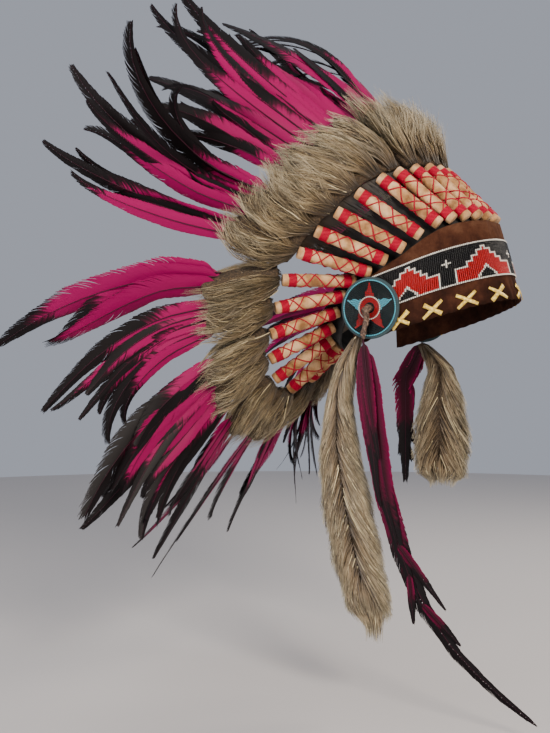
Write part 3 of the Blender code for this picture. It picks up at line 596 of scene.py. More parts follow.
for number in range(-14, 16):
    rng = np.random.default_rng(200 + number)
    along, across, outward = (at_place(number, table) for table in (alongs, acrosses, outwards))
    start = at_place(number, feet) + along * at_place(number, starts)
    angle = 2 * np.pi * np.arange(ROLL_SIDES) / ROLL_SIDES
    wobble = 1 + 0.025 * np.sin(angle * 2 + rng.random() * 6) + 0.012 * np.sin(angle * 5 + rng.random() * 6)
    rough = wobble[:, None] * around(angle, across, outward)
    rows = [start + along * at + WRAP_RADIUS * size * (1 + 0.008 * rng.normal()) * rough
            for at, size in ROLL_PROFILE]
    faces = [*skin(len(rows), ROLL_SIDES), *end_caps(len(rows), ROLL_SIDES)]
    make_piece("roll_" + wrap_name(number), np.concatenate(rows), faces, "felt_wrap", rolled,
               (wrap_name(number),))
    parts = []
    for first, last in WINDINGS:
        turns = 10 if rng.random() < 0.5 else 9
        sleeve = start + along * np.linspace(first, last, 3)[:, None]
        parts.append((*tube(sleeve, WRAP_RADIUS * 1.005 + 0.0003, 24), {}))
        t = np.linspace(0, 1, turns * 9)
        path = (start + along * (first + (last - first) * t)[:, None]
                + (WRAP_RADIUS * 1.03 + 0.0002) * around(2 * np.pi * turns * t, across, outward))
        parts.append((*tube(path, WOUND_RADIUS, 4), {}))
    t = np.linspace(0, 1, 25)
    for phase, turns in CROSSINGS:
        spin = phase + 2 * np.pi * turns * t + 0.12 * np.sin(7 * t + number)
        path = (start + along * (0.0145 + 0.057 * t)[:, None]
                + (WRAP_RADIUS * 1.025 + 0.0003) * around(spin, across, outward))
        parts.append((*tube(path, CROSSING_RADIUS, 4), {}))
    points, faces, layers = joined(parts)
    make_piece("thread_" + wrap_name(number), points, faces, "felt_wrap", red_thread, ())

# Fur.  Long imitation fur in eight groups, a tuft past the end of each wrap: dark soft underfur, and
# over it long guard hairs that clump, lie back towards the nape and turn pale at their tips.

FUR_START = 0.0022
FUR_THICKNESS = 0.036
FUR_MARGIN = 0.06
# Columns: share along the tuft, outer and inner depth and width there, as shares
FUR_ROWS = np.array(((0.00, 0.42, 0.42, 0.98), (0.14, 0.95, 0.75, 1.00), (0.45, 1.40, 0.85, 1.00),
                     (0.76, 1.45, 0.50, 0.95), (1.00, 0.75, 0.05, 0.86)))
LOCK_ENDS = np.array((1.0, 0.90, 0.97, 0.88, 1.0))
NOTCH_END = 0.84
# Columns: name, first and last place round the ring, side, share of the start
FUR_GROUPS = (("centre", -3.5, 3.5, 1, 1.0), ("tail", 13.5, 16.5, 1, 0.7)) + tuple(
    ("%s_%s" % (name, hand), low, high, side, 1.0)
    for name, low, high in (("side", 3.5, 9.5), ("low", 9.5, 11.5), ("nape", 11.5, 13.5))
    for hand, side in (("left", 1), ("right", -1)))
HAIRS_A_LOCK, CLUMPS_A_LOCK = 1200, 11
HAIR_HALF_WIDTH = 0.00039
HAIR_STEPS = 6


def fur_spot(group, across, along, depth):
    """Point in a tuft group: share across, share along, and depth -1 (inner face) to 1 (outer face)."""
    name, low, high, side, start = group
    locks = round(high - low)
    spot = np.clip(across, 0, 0.99999) * locks
    lock = spot.astype(int)
    middle = 1 - abs(2 * (spot - lock) - 1)
    reach = NOTCH_END + (LOCK_ENDS[lock % 5] - NOTCH_END) * middle
    outer, inner, wide = (np.interp(along, FUR_ROWS[:, 0], FUR_ROWS[:, k]) for k in (1, 2, 3))
    out = FUR_THICKNESS / 2 * (0.66 + 0.34 * middle) * depth * np.where(depth > 0, outer, inner)
    half = ((high - low) / 2 - FUR_MARGIN) * wide
    place = side * ((low + high) / 2 + (across * 2 - 1) * half)
    return past_wraps(place, FUR_START * start + FUR_LENGTH * along * reach, out)


def ribbons(paths, halves):
    """Flat strands along paths, count by steps by 3, with half of the width as a vector at each step."""
    count, steps = paths.shape[:2]
    points = np.stack((paths - halves, paths + halves), 2).reshape(-1, 3)
    start = (np.arange(count)[:, None] * steps + np.arange(steps - 1)[None]) * 2
    return points, np.stack((start, start + 1, start + 3, start + 2), -1).reshape(-1, 4)


def hair_layers(steps, kind):
    """Layers of hairs: how far along, and 0.5 for a plain hair, 0 for a dark one or 1 for a pale one."""
    along = np.tile(np.repeat(np.linspace(0, 1, steps), 2), len(kind))
    return {"along": along, "odd": np.repeat(kind, steps * 2)}


def fur_material(name, *stops):
    """Smooth imitation hairs with a soft shine along them, coloured from root to tip.  The coat is
    darker in clouds of about 22 mm, painted shade for the valleys between tufts, and a few hairs are
    dark or pale."""
    made, tree, shader = new_material(name)
    along, odd = (add(tree, "Attribute", attribute_name=layer).outputs["Fac"] for layer in ("along", "odd"))
    colour = add(tree, "ValToRGB", ("Fac", along), stops=stops)
    patch = add(tree, "TexNoise", ("Vector", add(tree, "TexCoord").outputs["Object"]),
                ("Scale", 1000 / 21.74), ("Detail", 3.0), ("Roughness", 0.6))
    # Painted shade: clouds that darken the coat.
    shade_cloud = add(tree, "MapRange", ("Value", patch.outputs["Fac"]), ("From Min", 0.34), ("From Max", 0.62),
                ("To Min", 0.20), ("To Max", 0.432))
    coat_with_painted_shade = add(tree, "HueSaturation", ("Color", colour.outputs["Color"]), ("Value", shade_cloud.outputs[0]))
    strange = add(tree, "ValToRGB", ("Fac", odd), stops=((0.2, "33261b"), (0.8, "cdbd94")))
    plain = add(tree, "Math", (0, odd), (1, 0.5), (2, 0.26), operation="COMPARE")
    mix = add(tree, "MixRGB", ("Fac", plain.outputs[0]), ("Color1", strange.outputs["Color"]),
              ("Color2", coat_with_painted_shade.outputs["Color"]))
    feed(tree, shader, ("Base Color", mix.outputs["Color"]), ("Roughness", 0.55), ("Sheen Weight", 0.25),
         ("Sheen Tint", linear("e8dcc0")))
    return made


# The coat runs from brown roots, darkened as painted shade where the hairs shade one another, to cream tips.
fur_coat = fur_material("fur_coat", (0.0, "38281a"), (0.28, "9c7f54"), (0.65, "e4c996"), (1.0, "fcecc8"))
# Underfur is short, dense and matt, and its colour is painted dark as painted shade, so what shows of
# it between the hairs reads as a brown shadow, its tufts 2 mm across.
underfur = mottled_material("underfur", (("Scale", 1000 / 2), ("Detail", 5.0)),
                            ((0.3, "20170f"), (0.55, "3e3020"), (0.8, "5e4b33")), (("Roughness", 0.95),),
                            bump=(("Strength", 0.9), ("Distance", 0.0015)))

for number, group in enumerate(FUR_GROUPS):
    rng = np.random.default_rng(300 + number)
    name, low, high = group[:3]
    locks = round(high - low)
    notch, squeeze = (0.02, 0.06) if name.startswith(("centre", "side")) else (0.10, 0.44)

    # The underfur: a slab with a notch between each two locks.
    across, along = np.meshgrid(np.linspace(0.01, 0.99, locks * 8 + 1), np.linspace(0.0, 0.86, 12))
    middle = 1 - abs(2 * (across * locks % 1) - 1)
    along = along + (notch - 0.12 * along) * (1 - middle)
    ripple = 0.40 + 0.24 * middle + 0.06 * np.sin(across * locks * 31 + along * 3)
    ripple = ripple + rng.normal(0, 0.03, across.shape)
    narrowed = 0.5 + (across - 0.5) * (1 - squeeze * along)
    points, faces = closed_slab(fur_spot(group, narrowed, along, -ripple)[0],
                                fur_spot(group, narrowed, along, ripple)[0])
    make_piece("underfur_" + name, points, faces, "fur", underfur, ("fur_" + name,))

    # The guard hairs: each leans to the middle of its clump, and a few stray from it.
    count = locks * HAIRS_A_LOCK
    clumps = locks * CLUMPS_A_LOCK
    clump_across = (np.arange(clumps) + 0.5 + rng.normal(0, 0.6, clumps)) / clumps
    clump_depth = rng.uniform(-1, 1, clumps)
    clump_end, clump_wave = rng.uniform(0.84, 1.10, clumps), rng.uniform(0, 6.28, clumps)
    rng.normal(0, 0.20, clumps)  # a spare draw that keeps the later ones as they are
    clump_swing = rng.normal(0, 0.75, clumps)
    lock_turn = rng.normal(0, 0.40, locks)
    across = rng.random(count)
    clump = np.clip((across * clumps + rng.normal(0, 0.9, count)).astype(int), 0, clumps - 1)
    first = np.where(rng.random(count) < 0.42, rng.random(count) * 0.08, rng.beta(1.0, 1.5, count) * 0.66)
    last = np.minimum(first + rng.uniform(0.36, 0.80, count), clump_end[clump] + rng.normal(0, 0.03, count))
    last = np.maximum(last, first + 0.2) + (0.20 * (first > 0.2) if name == "centre" else 0)
    depth = rng.uniform(-1, 1, count)
    depth = np.sign(depth) * abs(depth) ** 0.4
    stray = np.where(rng.random(count) < 0.10, rng.normal(0, 1, count), 0.0)
    t = np.linspace(0, 1, HAIR_STEPS)[None]
    pull = 0.86 * t ** 1.3
    wave = np.sin(t * 4.5 + clump_wave[clump][:, None]) * t
    target = clump_across[clump] + clump_swing[clump] / locks * 0.5 * last
    run_along = first[:, None] + (last - first)[:, None] * t
    run_across = across[:, None] + (target - across)[:, None] * pull
    run_across = run_across + wave * 0.09 / locks + rng.normal(0, 0.07, (count, 1)) * t ** 2 / locks
    run_across = np.clip(run_across + 0.20 / locks * stray[:, None] * t, -0.02, 1.02)
    stand = clump_depth[clump] * (0.26 if name == "centre" else 0.16)
    stand = np.where((name == "centre") & (stand > 0), stand + 0.65, stand)
    root_rise = 0.74 + 0.26 * np.minimum(t * 2.5, 1)
    run_depth = depth[:, None] * root_rise * (1 - 0.25 * pull) + 0.12 * wave + stand[:, None] * t ** 1.6
    run_depth = run_depth + 0.22 * stray[:, None] * t ** 2

    # Each tuft is narrow where it leaves its wrap, spreads, and turns a little to one side.
    lock = np.clip(across * locks, 0, locks - 0.01).astype(int)
    centre = ((lock + 0.5) / locks)[:, None]
    spread = 0.50 + 0.50 * np.minimum(run_along / 0.34, 1) ** 0.8
    turned = (lock_turn[lock] / locks)[:, None] * run_along ** 2
    run_across = centre + (run_across - centre) * spread + turned
    run_across = 0.5 + (run_across - 0.5) * (1 - squeeze * run_along)
    paths, heading, side_way, normal = fur_spot(group, run_across, run_along, run_depth)
    twist = rng.normal(0, 0.5, (count, 1, 1))
    half = HAIR_HALF_WIDTH * (1 - 0.78 * t ** 1.2) * rng.uniform(0.6, 1.25, (count, 1))
    way = unit(np.gradient(paths, axis=1))
    flat = unit(np.cross(way, normal * np.cos(twist) + side_way * np.sin(twist)))
    points, faces = ribbons(paths, flat * half[..., None])
    kind = rng.choice((0.0, 0.5, 1.0), count, p=(0.09, 0.895, 0.015))
    make_piece("guard_hairs_" + name, points, faces, "fur", fur_coat, (), **hair_layers(HAIR_STEPS, kind))

# Between the front wraps the roots of the fur reach back to the felt; no light gets to them, so they
# are painted dark as painted shade.
rng = np.random.default_rng(350)
root_coat_painted_shade = fur_material("root_coat_painted_shade", (0.0, "4a3a29"), (0.5, "33281d"), (1.0, "241c15"))
gaps = np.concatenate([np.arange(n, n + 1, 0.0070) for n in range(-9, 9)])
count, steps = len(gaps), 4
t = np.linspace(0, 1, steps)[None]
past = 0.004 - (0.015 + 0.024 * rng.random((count, 1))) * t
out = -0.0035 - 0.004 * rng.random((count, 1)) + 0.0 * t
lean = rng.normal(0, 0.06, (count, 1)) * t
paths, heading, side_way, normal = past_wraps(gaps[:, None] + lean, past, out)
points, faces = ribbons(paths, side_way * (0.0006 * (1 - 0.7 * t))[..., None])
make_piece("root_hairs", points, faces, "fur", root_coat_painted_shade, (), **hair_layers(steps, np.full(count, 0.5)))

# Plumes.  Dyed cock feathers glued into the fur, several to a place: a dark quill, barbs dyed magenta
# from the root and left black towards the tip, the edges split into points.

PLUME_LENGTH = 0.200
PLUME_WIDTH = 0.024
PLUME_ROOT = FUR_START + FUR_LENGTH + 0.0065
# Columns: share across the group, turn at the root and curl in its plane, lift at the root and nod out
# of it, all four in degrees, then length, width and where the dye ends, as shares
PLUMES = {
    "centre": ((-0.80, -2, -4, -4, -20, 1.12, 0.9, 0.62), (-0.28, 1, 2, 12, -72, 1.20, 0.9, 0.42),
               (0.28, -1, -2, 12, -72, 1.20, 0.9, 0.36), (0.80, 2, 4, -4, -20, 1.12, 0.9, 0.55)),
    "side": ((-0.92, -4, -2, -10, -10, 1.05, 0.9, 0.66), (-0.70, -2, -12, -4, -4, 1.36, 0.9, 0.66),
             (-0.46, 0, -6, -8, -10, 1.26, 0.9, 0.52), (-0.22, 6, 4, -12, -14, 0.94, 0.9, 0.58),
             (0.04, -6, 20, 0, 6, 0.62, 0.9, 0.62), (0.38, -14, -60, 12, 6, 1.08, 1.0, 0.34),
             (0.62, -12, -18, -2, -10, 1.04, 1.1, 0.46), (0.88, -4, -4, -2, -12, 0.95, 1.0, 0.55)),
    "low": ((-0.70, 30, 18, -8, 22, 1.24, 1.4, 0.72), (0.10, 6, 40, 6, 18, 0.92, 0.9, 0.60),
            (0.70, 10, 60, 4, 10, 0.78, 0.9, 0.42)),
    "nape": ((-0.60, -16, 14, 2, 30, 0.94, 1.3, 0.60), (0.10, -16, 10, 0, 6, 0.92, 0.9, 0.52),
             (0.70, -20, 20, 0, 30, 0.74, 0.9, 0.40)),
    "tail": ((-0.70, 6, -4, 0, 0, 0.74, 1.0, 0.55), (0.00, 0, -6, 0, 0, 1.14, 1.3, 0.62),
             (0.70, -6, 4, 0, 0, 0.80, 1.0, 0.50)),
}
# How far the plumes of a group turn to show their faces, in degrees.
FACING = {"centre": 0, "side": 0, "low": 30, "nape": 35, "tail": 0}
# Columns: share along a feather, 0 standing for the end of its bare quill, and its width there
VANE = np.array(((0.0, 0.75), (0.14, 0.95), (0.34, 1.0), (0.52, 0.90), (0.68, 0.62), (0.84, 0.42),
                 (0.95, 0.22), (1.0, 0.02)))
SPINE_STEPS = 24
BARB_STEPS = 6


def plume_spine(place, bends, length, side, back=0.05, hook=0.0, roll=0.0):
    """Path of one plume with its heading, across and outward directions, from inside the fur."""
    fan, curl, lift, nod = bends
    place = np.array(place)
    point, way, across, normal = past_wraps(place, np.array(PLUME_ROOT), 0.0)
    ahead = past_wraps(place + 0.1 * side, np.array(PLUME_ROOT), 0.0)[0] - point
    across = across * np.sign(dot(across, ahead))
    hand = np.sign(dot(np.cross(across, way), normal))
    root = past_wraps(place, np.array(PLUME_ROOT - back), 0.0)[0]
    rows = [(root, unit(point - root), across, normal), (point, way, across, normal)]
    for share in (np.arange(SPINE_STEPS) + 0.5) / SPINE_STEPS:
        bend = math.radians(fan * min(share * 5, 1) + curl * share ** 1.3 + hook * share ** 5)
        pitch = math.radians(lift * min(share * 5, 1) + nod * share ** 1.3)
        flat = way * math.cos(bend) + across * math.sin(bend)
        heading = flat * math.cos(pitch) + normal * math.sin(pitch)
        cross = across * math.cos(bend) - way * math.sin(bend)
        point = point + heading * length / SPINE_STEPS
        rows.append((point, heading, cross, unit(np.cross(cross, heading)) * hand))
    path, ways, crosses, ups = (np.array(column) for column in zip(*rows))
    near, far = math.cos(math.radians(roll)), math.sin(math.radians(roll))
    return path, ways, crosses * near + ups * far, ups * near - crosses * far


def along_path(share, path, *tables):
    """Rows of a path and of its tables at shares of its length."""
    run = np.concatenate(((0,), np.cumsum(np.linalg.norm(np.diff(path, axis=0), axis=1))))
    at = np.asarray(share) * run[-1]
    return [np.stack([np.interp(at, run, table[:, k]) for k in range(3)], -1) for table in (path, *tables)]


def feather(spine, width, dye, rng, barbs=84, bare=0.04, quill=0.0011, dark_side=1):
    """Quill and barbs along a spine.  Layers: pink, how far the dye shows; edge, how far out on a barb,
    or -1 on the quill.  On some feathers one side is darker, unless dark_side is 0."""
    path, ways, crosses, ups = spine
    shares = np.linspace(0, 1, 13)
    quill_path, quill_up = along_path(shares, path, ups)
    length = np.sum(np.linalg.norm(np.diff(path, axis=0), axis=1))
    sides = 4
    points, faces = tube(quill_path + quill_up * 0.0003, quill * (1 - 0.88 * shares), sides)
    own = rng.random()
    parts = [(points, faces, {"pink": np.clip((dye - np.repeat(shares, sides)) / 0.2 + 0.5, 0, 1),
                              "edge": np.full(len(points), -1.0)})]
    t = np.linspace(0, 1, BARB_STEPS)[None]
    dark_hand = rng.choice((-1, 0, 1), p=(0.3, 0.4, 0.3)) * dark_side
    for hand in (-1, 1):
        share = bare + (1 - bare) * (np.arange(barbs) + rng.random(barbs) * 0.4) / barbs
        root, way, cross, up = along_path(share, path, ways, crosses, ups)
        way, cross, up = (unit(table)[:, None] for table in (way, cross, up))
        wide = np.interp(share, (bare, *VANE[1:, 0]), VANE[:, 1])
        group = np.floor(share * 9 + np.interp(share, np.linspace(0, 1, 12), rng.normal(0, 0.5, 12)))
        split = np.sin(group * 12.9898 + own * 78.2)
        half = width / 2 * wide * rng.uniform(0.95, 1.03, barbs) * (1 + 0.07 * split)
        lean = np.interp(share, (0, 0.5, 1), (38, 27, 12)) + split * 3.5 + rng.normal(0, 1.2, barbs)
        forward = np.minimum(half / np.tan(np.radians(lean)), (1.015 - share) * length + 0.004)
        half, forward, split = half[:, None], forward[:, None], split[:, None]
        cup = (0.16 + 0.10 * split) * half * t ** 2
        paths = (root[:, None] + hand * cross * (half * np.sin(np.pi / 2 * t) ** 1.1)[..., None]
                 + way * (forward * t ** 1.25)[..., None] + up * (0.0002 - cup)[..., None])
        run = unit(np.gradient(paths, axis=1))
        flat = unit(np.cross(run, up + 0.18 * hand * cross))
        slant = np.linalg.norm(np.cross(run, way), axis=-1)
        thick = (length * (1 - bare) / barbs * 0.74 * slant + 0.00018) * (1.0 - 0.35 * t ** 3)
        points, faces = ribbons(paths, flat * thick[..., None])
        past_dye = share[:, None] + 0.24 * t ** 1.5 - 0.09 * split + (0.32 if hand == dark_hand else 0.0)
        pink = np.clip((dye - past_dye + rng.normal(0, 0.03, (barbs, 1))) / 0.12 + 0.5, 0, 1)
        rng.normal(0, 0.16, barbs)  # a spare draw that keeps the later ones as they are
        parts.append((points, faces, {"pink": np.repeat(pink.ravel(), 2),
                                      "edge": np.tile(np.repeat(t[0], 2), barbs)}))
    return joined(parts)


def feather_material(name, gloss, *dye):
    """Barbs dyed in a bath that stops short of their tips, so that the feather's own black runs in.
    They have a slight horn-like gloss.  The dye is one colour, or has stops from quill to edge."""
    made, tree, shader = new_material(name)
    pink, edge = (add(tree, "Attribute", attribute_name=layer).outputs["Fac"] for layer in ("pink", "edge"))
    if len(dye) == 1:
        dyed = linear(dye[0])
    else:
        dyed = add(tree, "ValToRGB", ("Fac", edge), stops=dye).outputs["Color"]
    depth = add(tree, "ValToRGB", ("Fac", pink), stops=((0.0, "000000"), (0.45, "6a6a6a"), (1.0, "ffffff")))
    vane = add(tree, "MixRGB", ("Fac", depth.outputs["Color"]), ("Color1", linear("0e090b")),
               ("Color2", dyed))
    quill = add(tree, "Math", (0, edge), (1, -0.5), operation="LESS_THAN")
    whole = add(tree, "MixRGB", ("Fac", quill.outputs[0]), ("Color1", vane.outputs["Color"]),
                ("Color2", linear("30101e")))
    feed(tree, shader, ("Base Color", whole.outputs["Color"]), ("Roughness", 0.5),
         ("Specular IOR Level", gloss))
    return made


# Pale cock feathers take the dye as an even, strong magenta, and their black tips swallow the light.
plume_dye = feather_material("cock_feather", 0.14, "860048")

for number, (name, low, high, side, start) in enumerate(FUR_GROUPS):
    rng = np.random.default_rng(400 + number)
    kind = name.split("_")[0]
    parts = []
    middle, half = (low + high) / 2, ((high - low) / 2 - FUR_MARGIN) * 0.86
    for across, fan, curl, lift, nod, length, width, dye in PLUMES[kind]:
        place = side * (middle + across * half)
        spine = plume_spine(place, (fan, curl, lift, nod), PLUME_LENGTH * length, side,
                            hook=rng.choice((-1, 1)) * rng.uniform(4, 22),
                            roll=FACING[kind] + rng.normal(0, 8))
        parts.append(feather(spine, PLUME_WIDTH * width * 1.12, dye, rng, 100))
        for _ in range(2 if name == "centre" else 3):
            wander = rng.normal(0, 1, 6)
            bends = (fan + 4 * wander[0], curl + 8 * wander[1], lift + 4 * wander[2], nod + 6 * wander[3])
            share = rng.uniform(0.50, 0.92)
            spine = plume_spine(place + 0.20 * wander[4], bends, PLUME_LENGTH * length * share, side,
                                back=rng.uniform(0.03, 0.06), hook=rng.choice((-1, 1)) * rng.uniform(10, 55),
                                roll=FACING[kind] + rng.normal(0, 18))
            parts.append(feather(spine, PLUME_WIDTH * width * rng.uniform(0.75, 1.0),
                                 dye + rng.uniform(-0.10, 0.35), rng, 82))
    points, faces, layers = joined(parts)
    make_piece("feathers_" + name, points, faces, "plumes", plume_dye, ("plumes_" + name,), **layers)

# Rosettes.  A felt disc covered with rings of seed beads round a hole, sewn over each end of the band:
# turquoise edge, black field with red and turquoise points, a white ring and red rings.

ROSETTE_AT = np.array((0.0832, 0.038, -0.0125))
DISC_RADIUS = 0.0345
# Columns: distance from the middle, height
DISC_PROFILE = ((0.0041, 0.0), (0.0335, 0.0), (DISC_RADIUS, 0.0006), (DISC_RADIUS, 0.0024),
                (0.0335, 0.0030), (0.0308, 0.0032), (0.0041, 0.0032))
DISC_SIDES = 72
FIRST_RING, RING_PITCH, RING_BEAD_PITCH, RING_BEAD_SIZE = 0.0052, 0.00183, 0.0021, 0.84
RING_STAND = 0.0041
RING_TINTS = (BLACK, RED, RED, RED, WHITE) + 9 * (BLACK,) + (TURQUOISE,)
# Half the width of the five points of the star, on each ring from the sixth outwards
FIRST_RAY = 5
RAY_HALVES = (0.0062, 0.0052, 0.0044, 0.0040, 0.0030, 0.0026, 0.0017, 0.0012)
RAY_TINTS = np.array((RED, TURQUOISE, RED, RED, TURQUOISE))

# Stiff felt dyed a dark blue-grey; it takes no shine, and only its rim shows, with tufts 1 mm across.
disc_felt = mottled_material("disc_felt", (("Scale", 1000 / 1), ("Detail", 4.0)),
                             ((0.3, "1c2a2d"), (0.7, "31454a")), (("Roughness", 0.95),),
                             bump=(("Strength", 0.5), ("Distance", 0.0004)))
rosette_beads = glass_bead_material("rosette_beads", "020304", "f2ede2", "c00c14", "62c4dc")
for hand, side in (("right", -1), ("left", 1)):
    middle = ROSETTE_AT * (side, 1, 1)
    out = np.array((side, 0.0, 0.0))
    angle = 2 * np.pi * np.arange(DISC_SIDES) / DISC_SIDES
    spokes = np.stack((0 * angle, np.cos(angle), np.sin(angle)), -1)
    points = np.concatenate([middle + out * level + spokes * radius
                             for radius, level in DISC_PROFILE + DISC_PROFILE[:1]])[:-DISC_SIDES]
    faces = skin(len(DISC_PROFILE) + 1, DISC_SIDES)[:, ::side] % len(points)
    make_piece("disc_" + hand, points, faces, "rosette", disc_felt, ("rosette_" + hand,))
    rng = np.random.default_rng(9)
    centres, ups, tints = [], [], []
    for ring, ring_tint in enumerate(RING_TINTS):
        radius = FIRST_RING + ring * RING_PITCH
        count = int(2 * np.pi * radius / RING_BEAD_PITCH)
        angle = 2 * np.pi * (np.arange(count) + rng.random()) / count
        spokes = np.stack((0 * angle, np.sin(angle), np.cos(angle)), -1)
        centres.append(middle + out * RING_STAND + radius * spokes)
        ups.append(np.stack((0 * angle, np.cos(angle), -np.sin(angle)), -1))
        tint = np.full(count, float(ring_tint))
        if FIRST_RAY <= ring < FIRST_RAY + len(RAY_HALVES):
            fifth, beside = np.divmod(np.degrees(angle * side) % 360 + 36, 72)
            inside = abs(np.radians(beside - 36)) * radius < RAY_HALVES[ring - FIRST_RAY]
            tint = np.where(inside, RAY_TINTS[fifth.astype(int) % 5], tint)
        tints.append(tint)
    centres, ups = np.concatenate(centres), np.concatenate(ups)
    points, faces, layers = place_beads(centres, ups, np.broadcast_to(out, ups.shape), np.concatenate(tints),
                                        RING_BEAD_SIZE, 12)
    make_piece("bead_rings_" + hand, points, faces, "rosette", rosette_beads, (), **layers)

# Ties.  A thong of brown leather strands, twisted and knotted through the hole in each rosette, its
# end hanging down in front of it.

# Columns: share down the hanging end, stand off the disc, size
TIE_ROWS = np.array(((0.00, -0.40, 1.30), (0.00, 0.05, 1.30), (0.00, 0.46, 1.40), (0.10, 0.74, 1.60),
                     (0.25, 0.52, 1.00), (0.45, 0.45, 0.95), (0.70, 0.44, 1.00), (0.90, 0.44, 0.90),
                     (1.00, 0.44, 0.60)))
TIE_HANG = 0.034
TIE_RADIUS = 0.0029
TIE_STAND, TIE_REACH = 0.0052, 0.0095
TIE_SIDES = 12
# Columns: where round the thong a strand starts, in radians, and its turns
STRANDS = ((0.0, 2.6), (2.0, 2.2), (4.1, -1.8))

# Tanned leather rubbed by hand: a low shine, painted shade that darkens it where it is creased, and
# pale where the grain is worn off, in patches of about 2 mm.
leather = mottled_material("thong_leather", (("Scale", 1000 / 2.174), ("Detail", 6.0), ("Roughness", 0.7)),
                           ((0.40, "1e130d"), (0.50, "4c382c"), (0.60, "7e6452"), (0.72, "a8937e")),
                           (("Roughness", 0.7),), bump=(("Strength", 0.6), ("Distance", 0.0004)))
for hand, side in (("right", -1), ("left", 1)):
    knots = np.linspace(0, 1, len(TIE_ROWS))
    t = np.linspace(0, 1, 33)
    down, off, size = (np.interp(t, knots, TIE_ROWS[:, k]) for k in range(3))
    stand = np.where(off > 0.2, np.maximum(TIE_REACH * off, TIE_RADIUS * size), TIE_REACH * off)
    path = (ROSETTE_AT * (side, 1, 1) + np.outer(TIE_STAND + stand, (side, 0, 0))
            + np.outer(down * TIE_HANG, (0, 0.15, -1)))
    points, faces = tube(path, TIE_RADIUS * 0.93 * size * (1 + 0.10 * np.sin(t * 40)), TIE_SIDES)
    make_piece("thong_" + hand, points, [*faces, *end_caps(len(path), TIE_SIDES)], "tie_leather", leather,
               ("tie_" + hand,))
    parts = []
    part_way = np.linspace(0.3, 1, 40)
    for phase, turns in STRANDS:
        spin = phase + 2 * np.pi * turns * part_way
        spot = np.stack([np.interp(part_way, t, path[:, k]) for k in range(3)], -1)
        size = np.interp(part_way, knots, TIE_ROWS[:, 2]) * 0.0031
        spot = (spot + np.outer(size * np.cos(spin), (side, 0, 0))
                + np.outer(size * np.sin(spin), (0, 1, 0.15)))
        parts.append((*tube(spot, 0.0011 * (1 + 0.25 * np.sin(9 * part_way + phase)), 5), {}))
    points, faces, layers = joined(parts)
    make_piece("thong_strands_" + hand, points, faces, "tie_leather", leather, ())

# Drops.  From each rosette hang a long fur tail, parted down the middle, and a bundle of long cock
# feathers tied to the thong, wine red with black points.  They are long on the right side only.

FUR_DROP_LENGTH, FUR_DROP_HALF_WIDTH, FUR_DROP_HALF_DEPTH = 0.320, 0.029, 0.010
FEATHER_DROP_LENGTH = 0.400
# Columns: share down the fur drop, width and thickness there as shares, and how far back it swings
FUR_DROP_ROWS = np.array((
    (0.00, 0.30, 0.35, 0.050), (0.08, 0.46, 0.62, 0.078), (0.20, 0.50, 0.80, 0.100),
    (0.38, 0.78, 0.92, 0.100), (0.57, 0.98, 1.00, 0.070), (0.76, 0.98, 1.00, 0.028),
    (0.93, 0.84, 0.70, -0.016), (1.00, 0.40, 0.30, -0.030)))
# Columns: share down the bundle of feathers, and how far ahead it swings there
FEATHER_DROP_ROWS = np.array((
    (0.000, 0.000), (0.10, 0.012), (0.24, 0.030), (0.40, 0.058), (0.56, 0.105), (0.70, 0.165), (0.82, 0.255),
    (0.90, 0.345), (0.955, 0.425), (0.99, 0.480)))
# Columns: width, share of the length, where the dye ends, shift ahead and lean of each long feather
DROP_FEATHERS = ((0.024, 1.00, 0.62, 0.0, 0.0), (0.019, 0.74, 0.72, -0.005, 0.02),
                 (0.017, 0.56, 0.80, 0.005, -0.015), (0.015, 0.46, 0.70, 0.001, 0.04),
                 (0.012, 0.34, 0.80, -0.002, 0.0))
# Columns: share down the longest feather, turn off it in radians and length of each loose tuft
LOOSE_TUFTS = ((0.55, 0.42, 0.075), (0.63, -0.30, 0.060), (0.70, 0.34, 0.050))
# Columns: name, side, length and width of the fur as shares, length of the feathers as a share, swing
# as a share, and how far ahead the fur and the feathers hang
DROPS = (("right", -1, 1.00, 1.00, 1.00, 1.0, -0.006, 0.002),
         ("left", 1, 0.52, 1.15, 0.44, 0.0, 0.024, -0.024))
DROP_HAIRS = 6400
DROP_HAIR_HALF_WIDTH = 0.00040

# The drops' fur hangs clear and catches the light from its root; it is painted paler than the crown's,
# as painted light.
drop_coat_painted_light = fur_material("drop_coat_painted_light", (0.0, "6a5438"), (0.35, "bc9e74"), (0.75, "ecd8ae"), (1.0, "faeed2"))
# The same dye in a stronger bath: wine red, dark by the quill and more magenta at the edges.
wine_dye = feather_material("wine_feather", 0.08, (0.25, "26020f"), (0.75, "540029"), (1.0, "820042"))


def drop_spot(side, length, broad, sweep, ahead, down, across, depth):
    """Point in a fur drop: share down, -1 to 1 across it and -1 to 1 from its inner to its outer face."""
    wide, thick, back = (np.interp(down, FUR_DROP_ROWS[:, 0], FUR_DROP_ROWS[:, k]) for k in (1, 2, 3))
    rim = math.sqrt(DISC_RADIUS ** 2 - (FUR_DROP_ROWS[0, 3] * length * sweep) ** 2)
    half, deep = FUR_DROP_HALF_WIDTH * wide * broad, FUR_DROP_HALF_DEPTH * thick
    bulge = np.sqrt(1 - np.clip(across, -1, 1) ** 2)
    x = side * (ROSETTE_AT[0] + depth * deep * bulge)
    y = ROSETTE_AT[1] + back * length * sweep - ahead * np.minimum(down * 6, 1) + across * half
    z = ROSETTE_AT[2] - rim - 0.0008 - down * length - abs(across) * half * 0.35
    return np.stack(np.broadcast_arrays(x, y, z), -1)


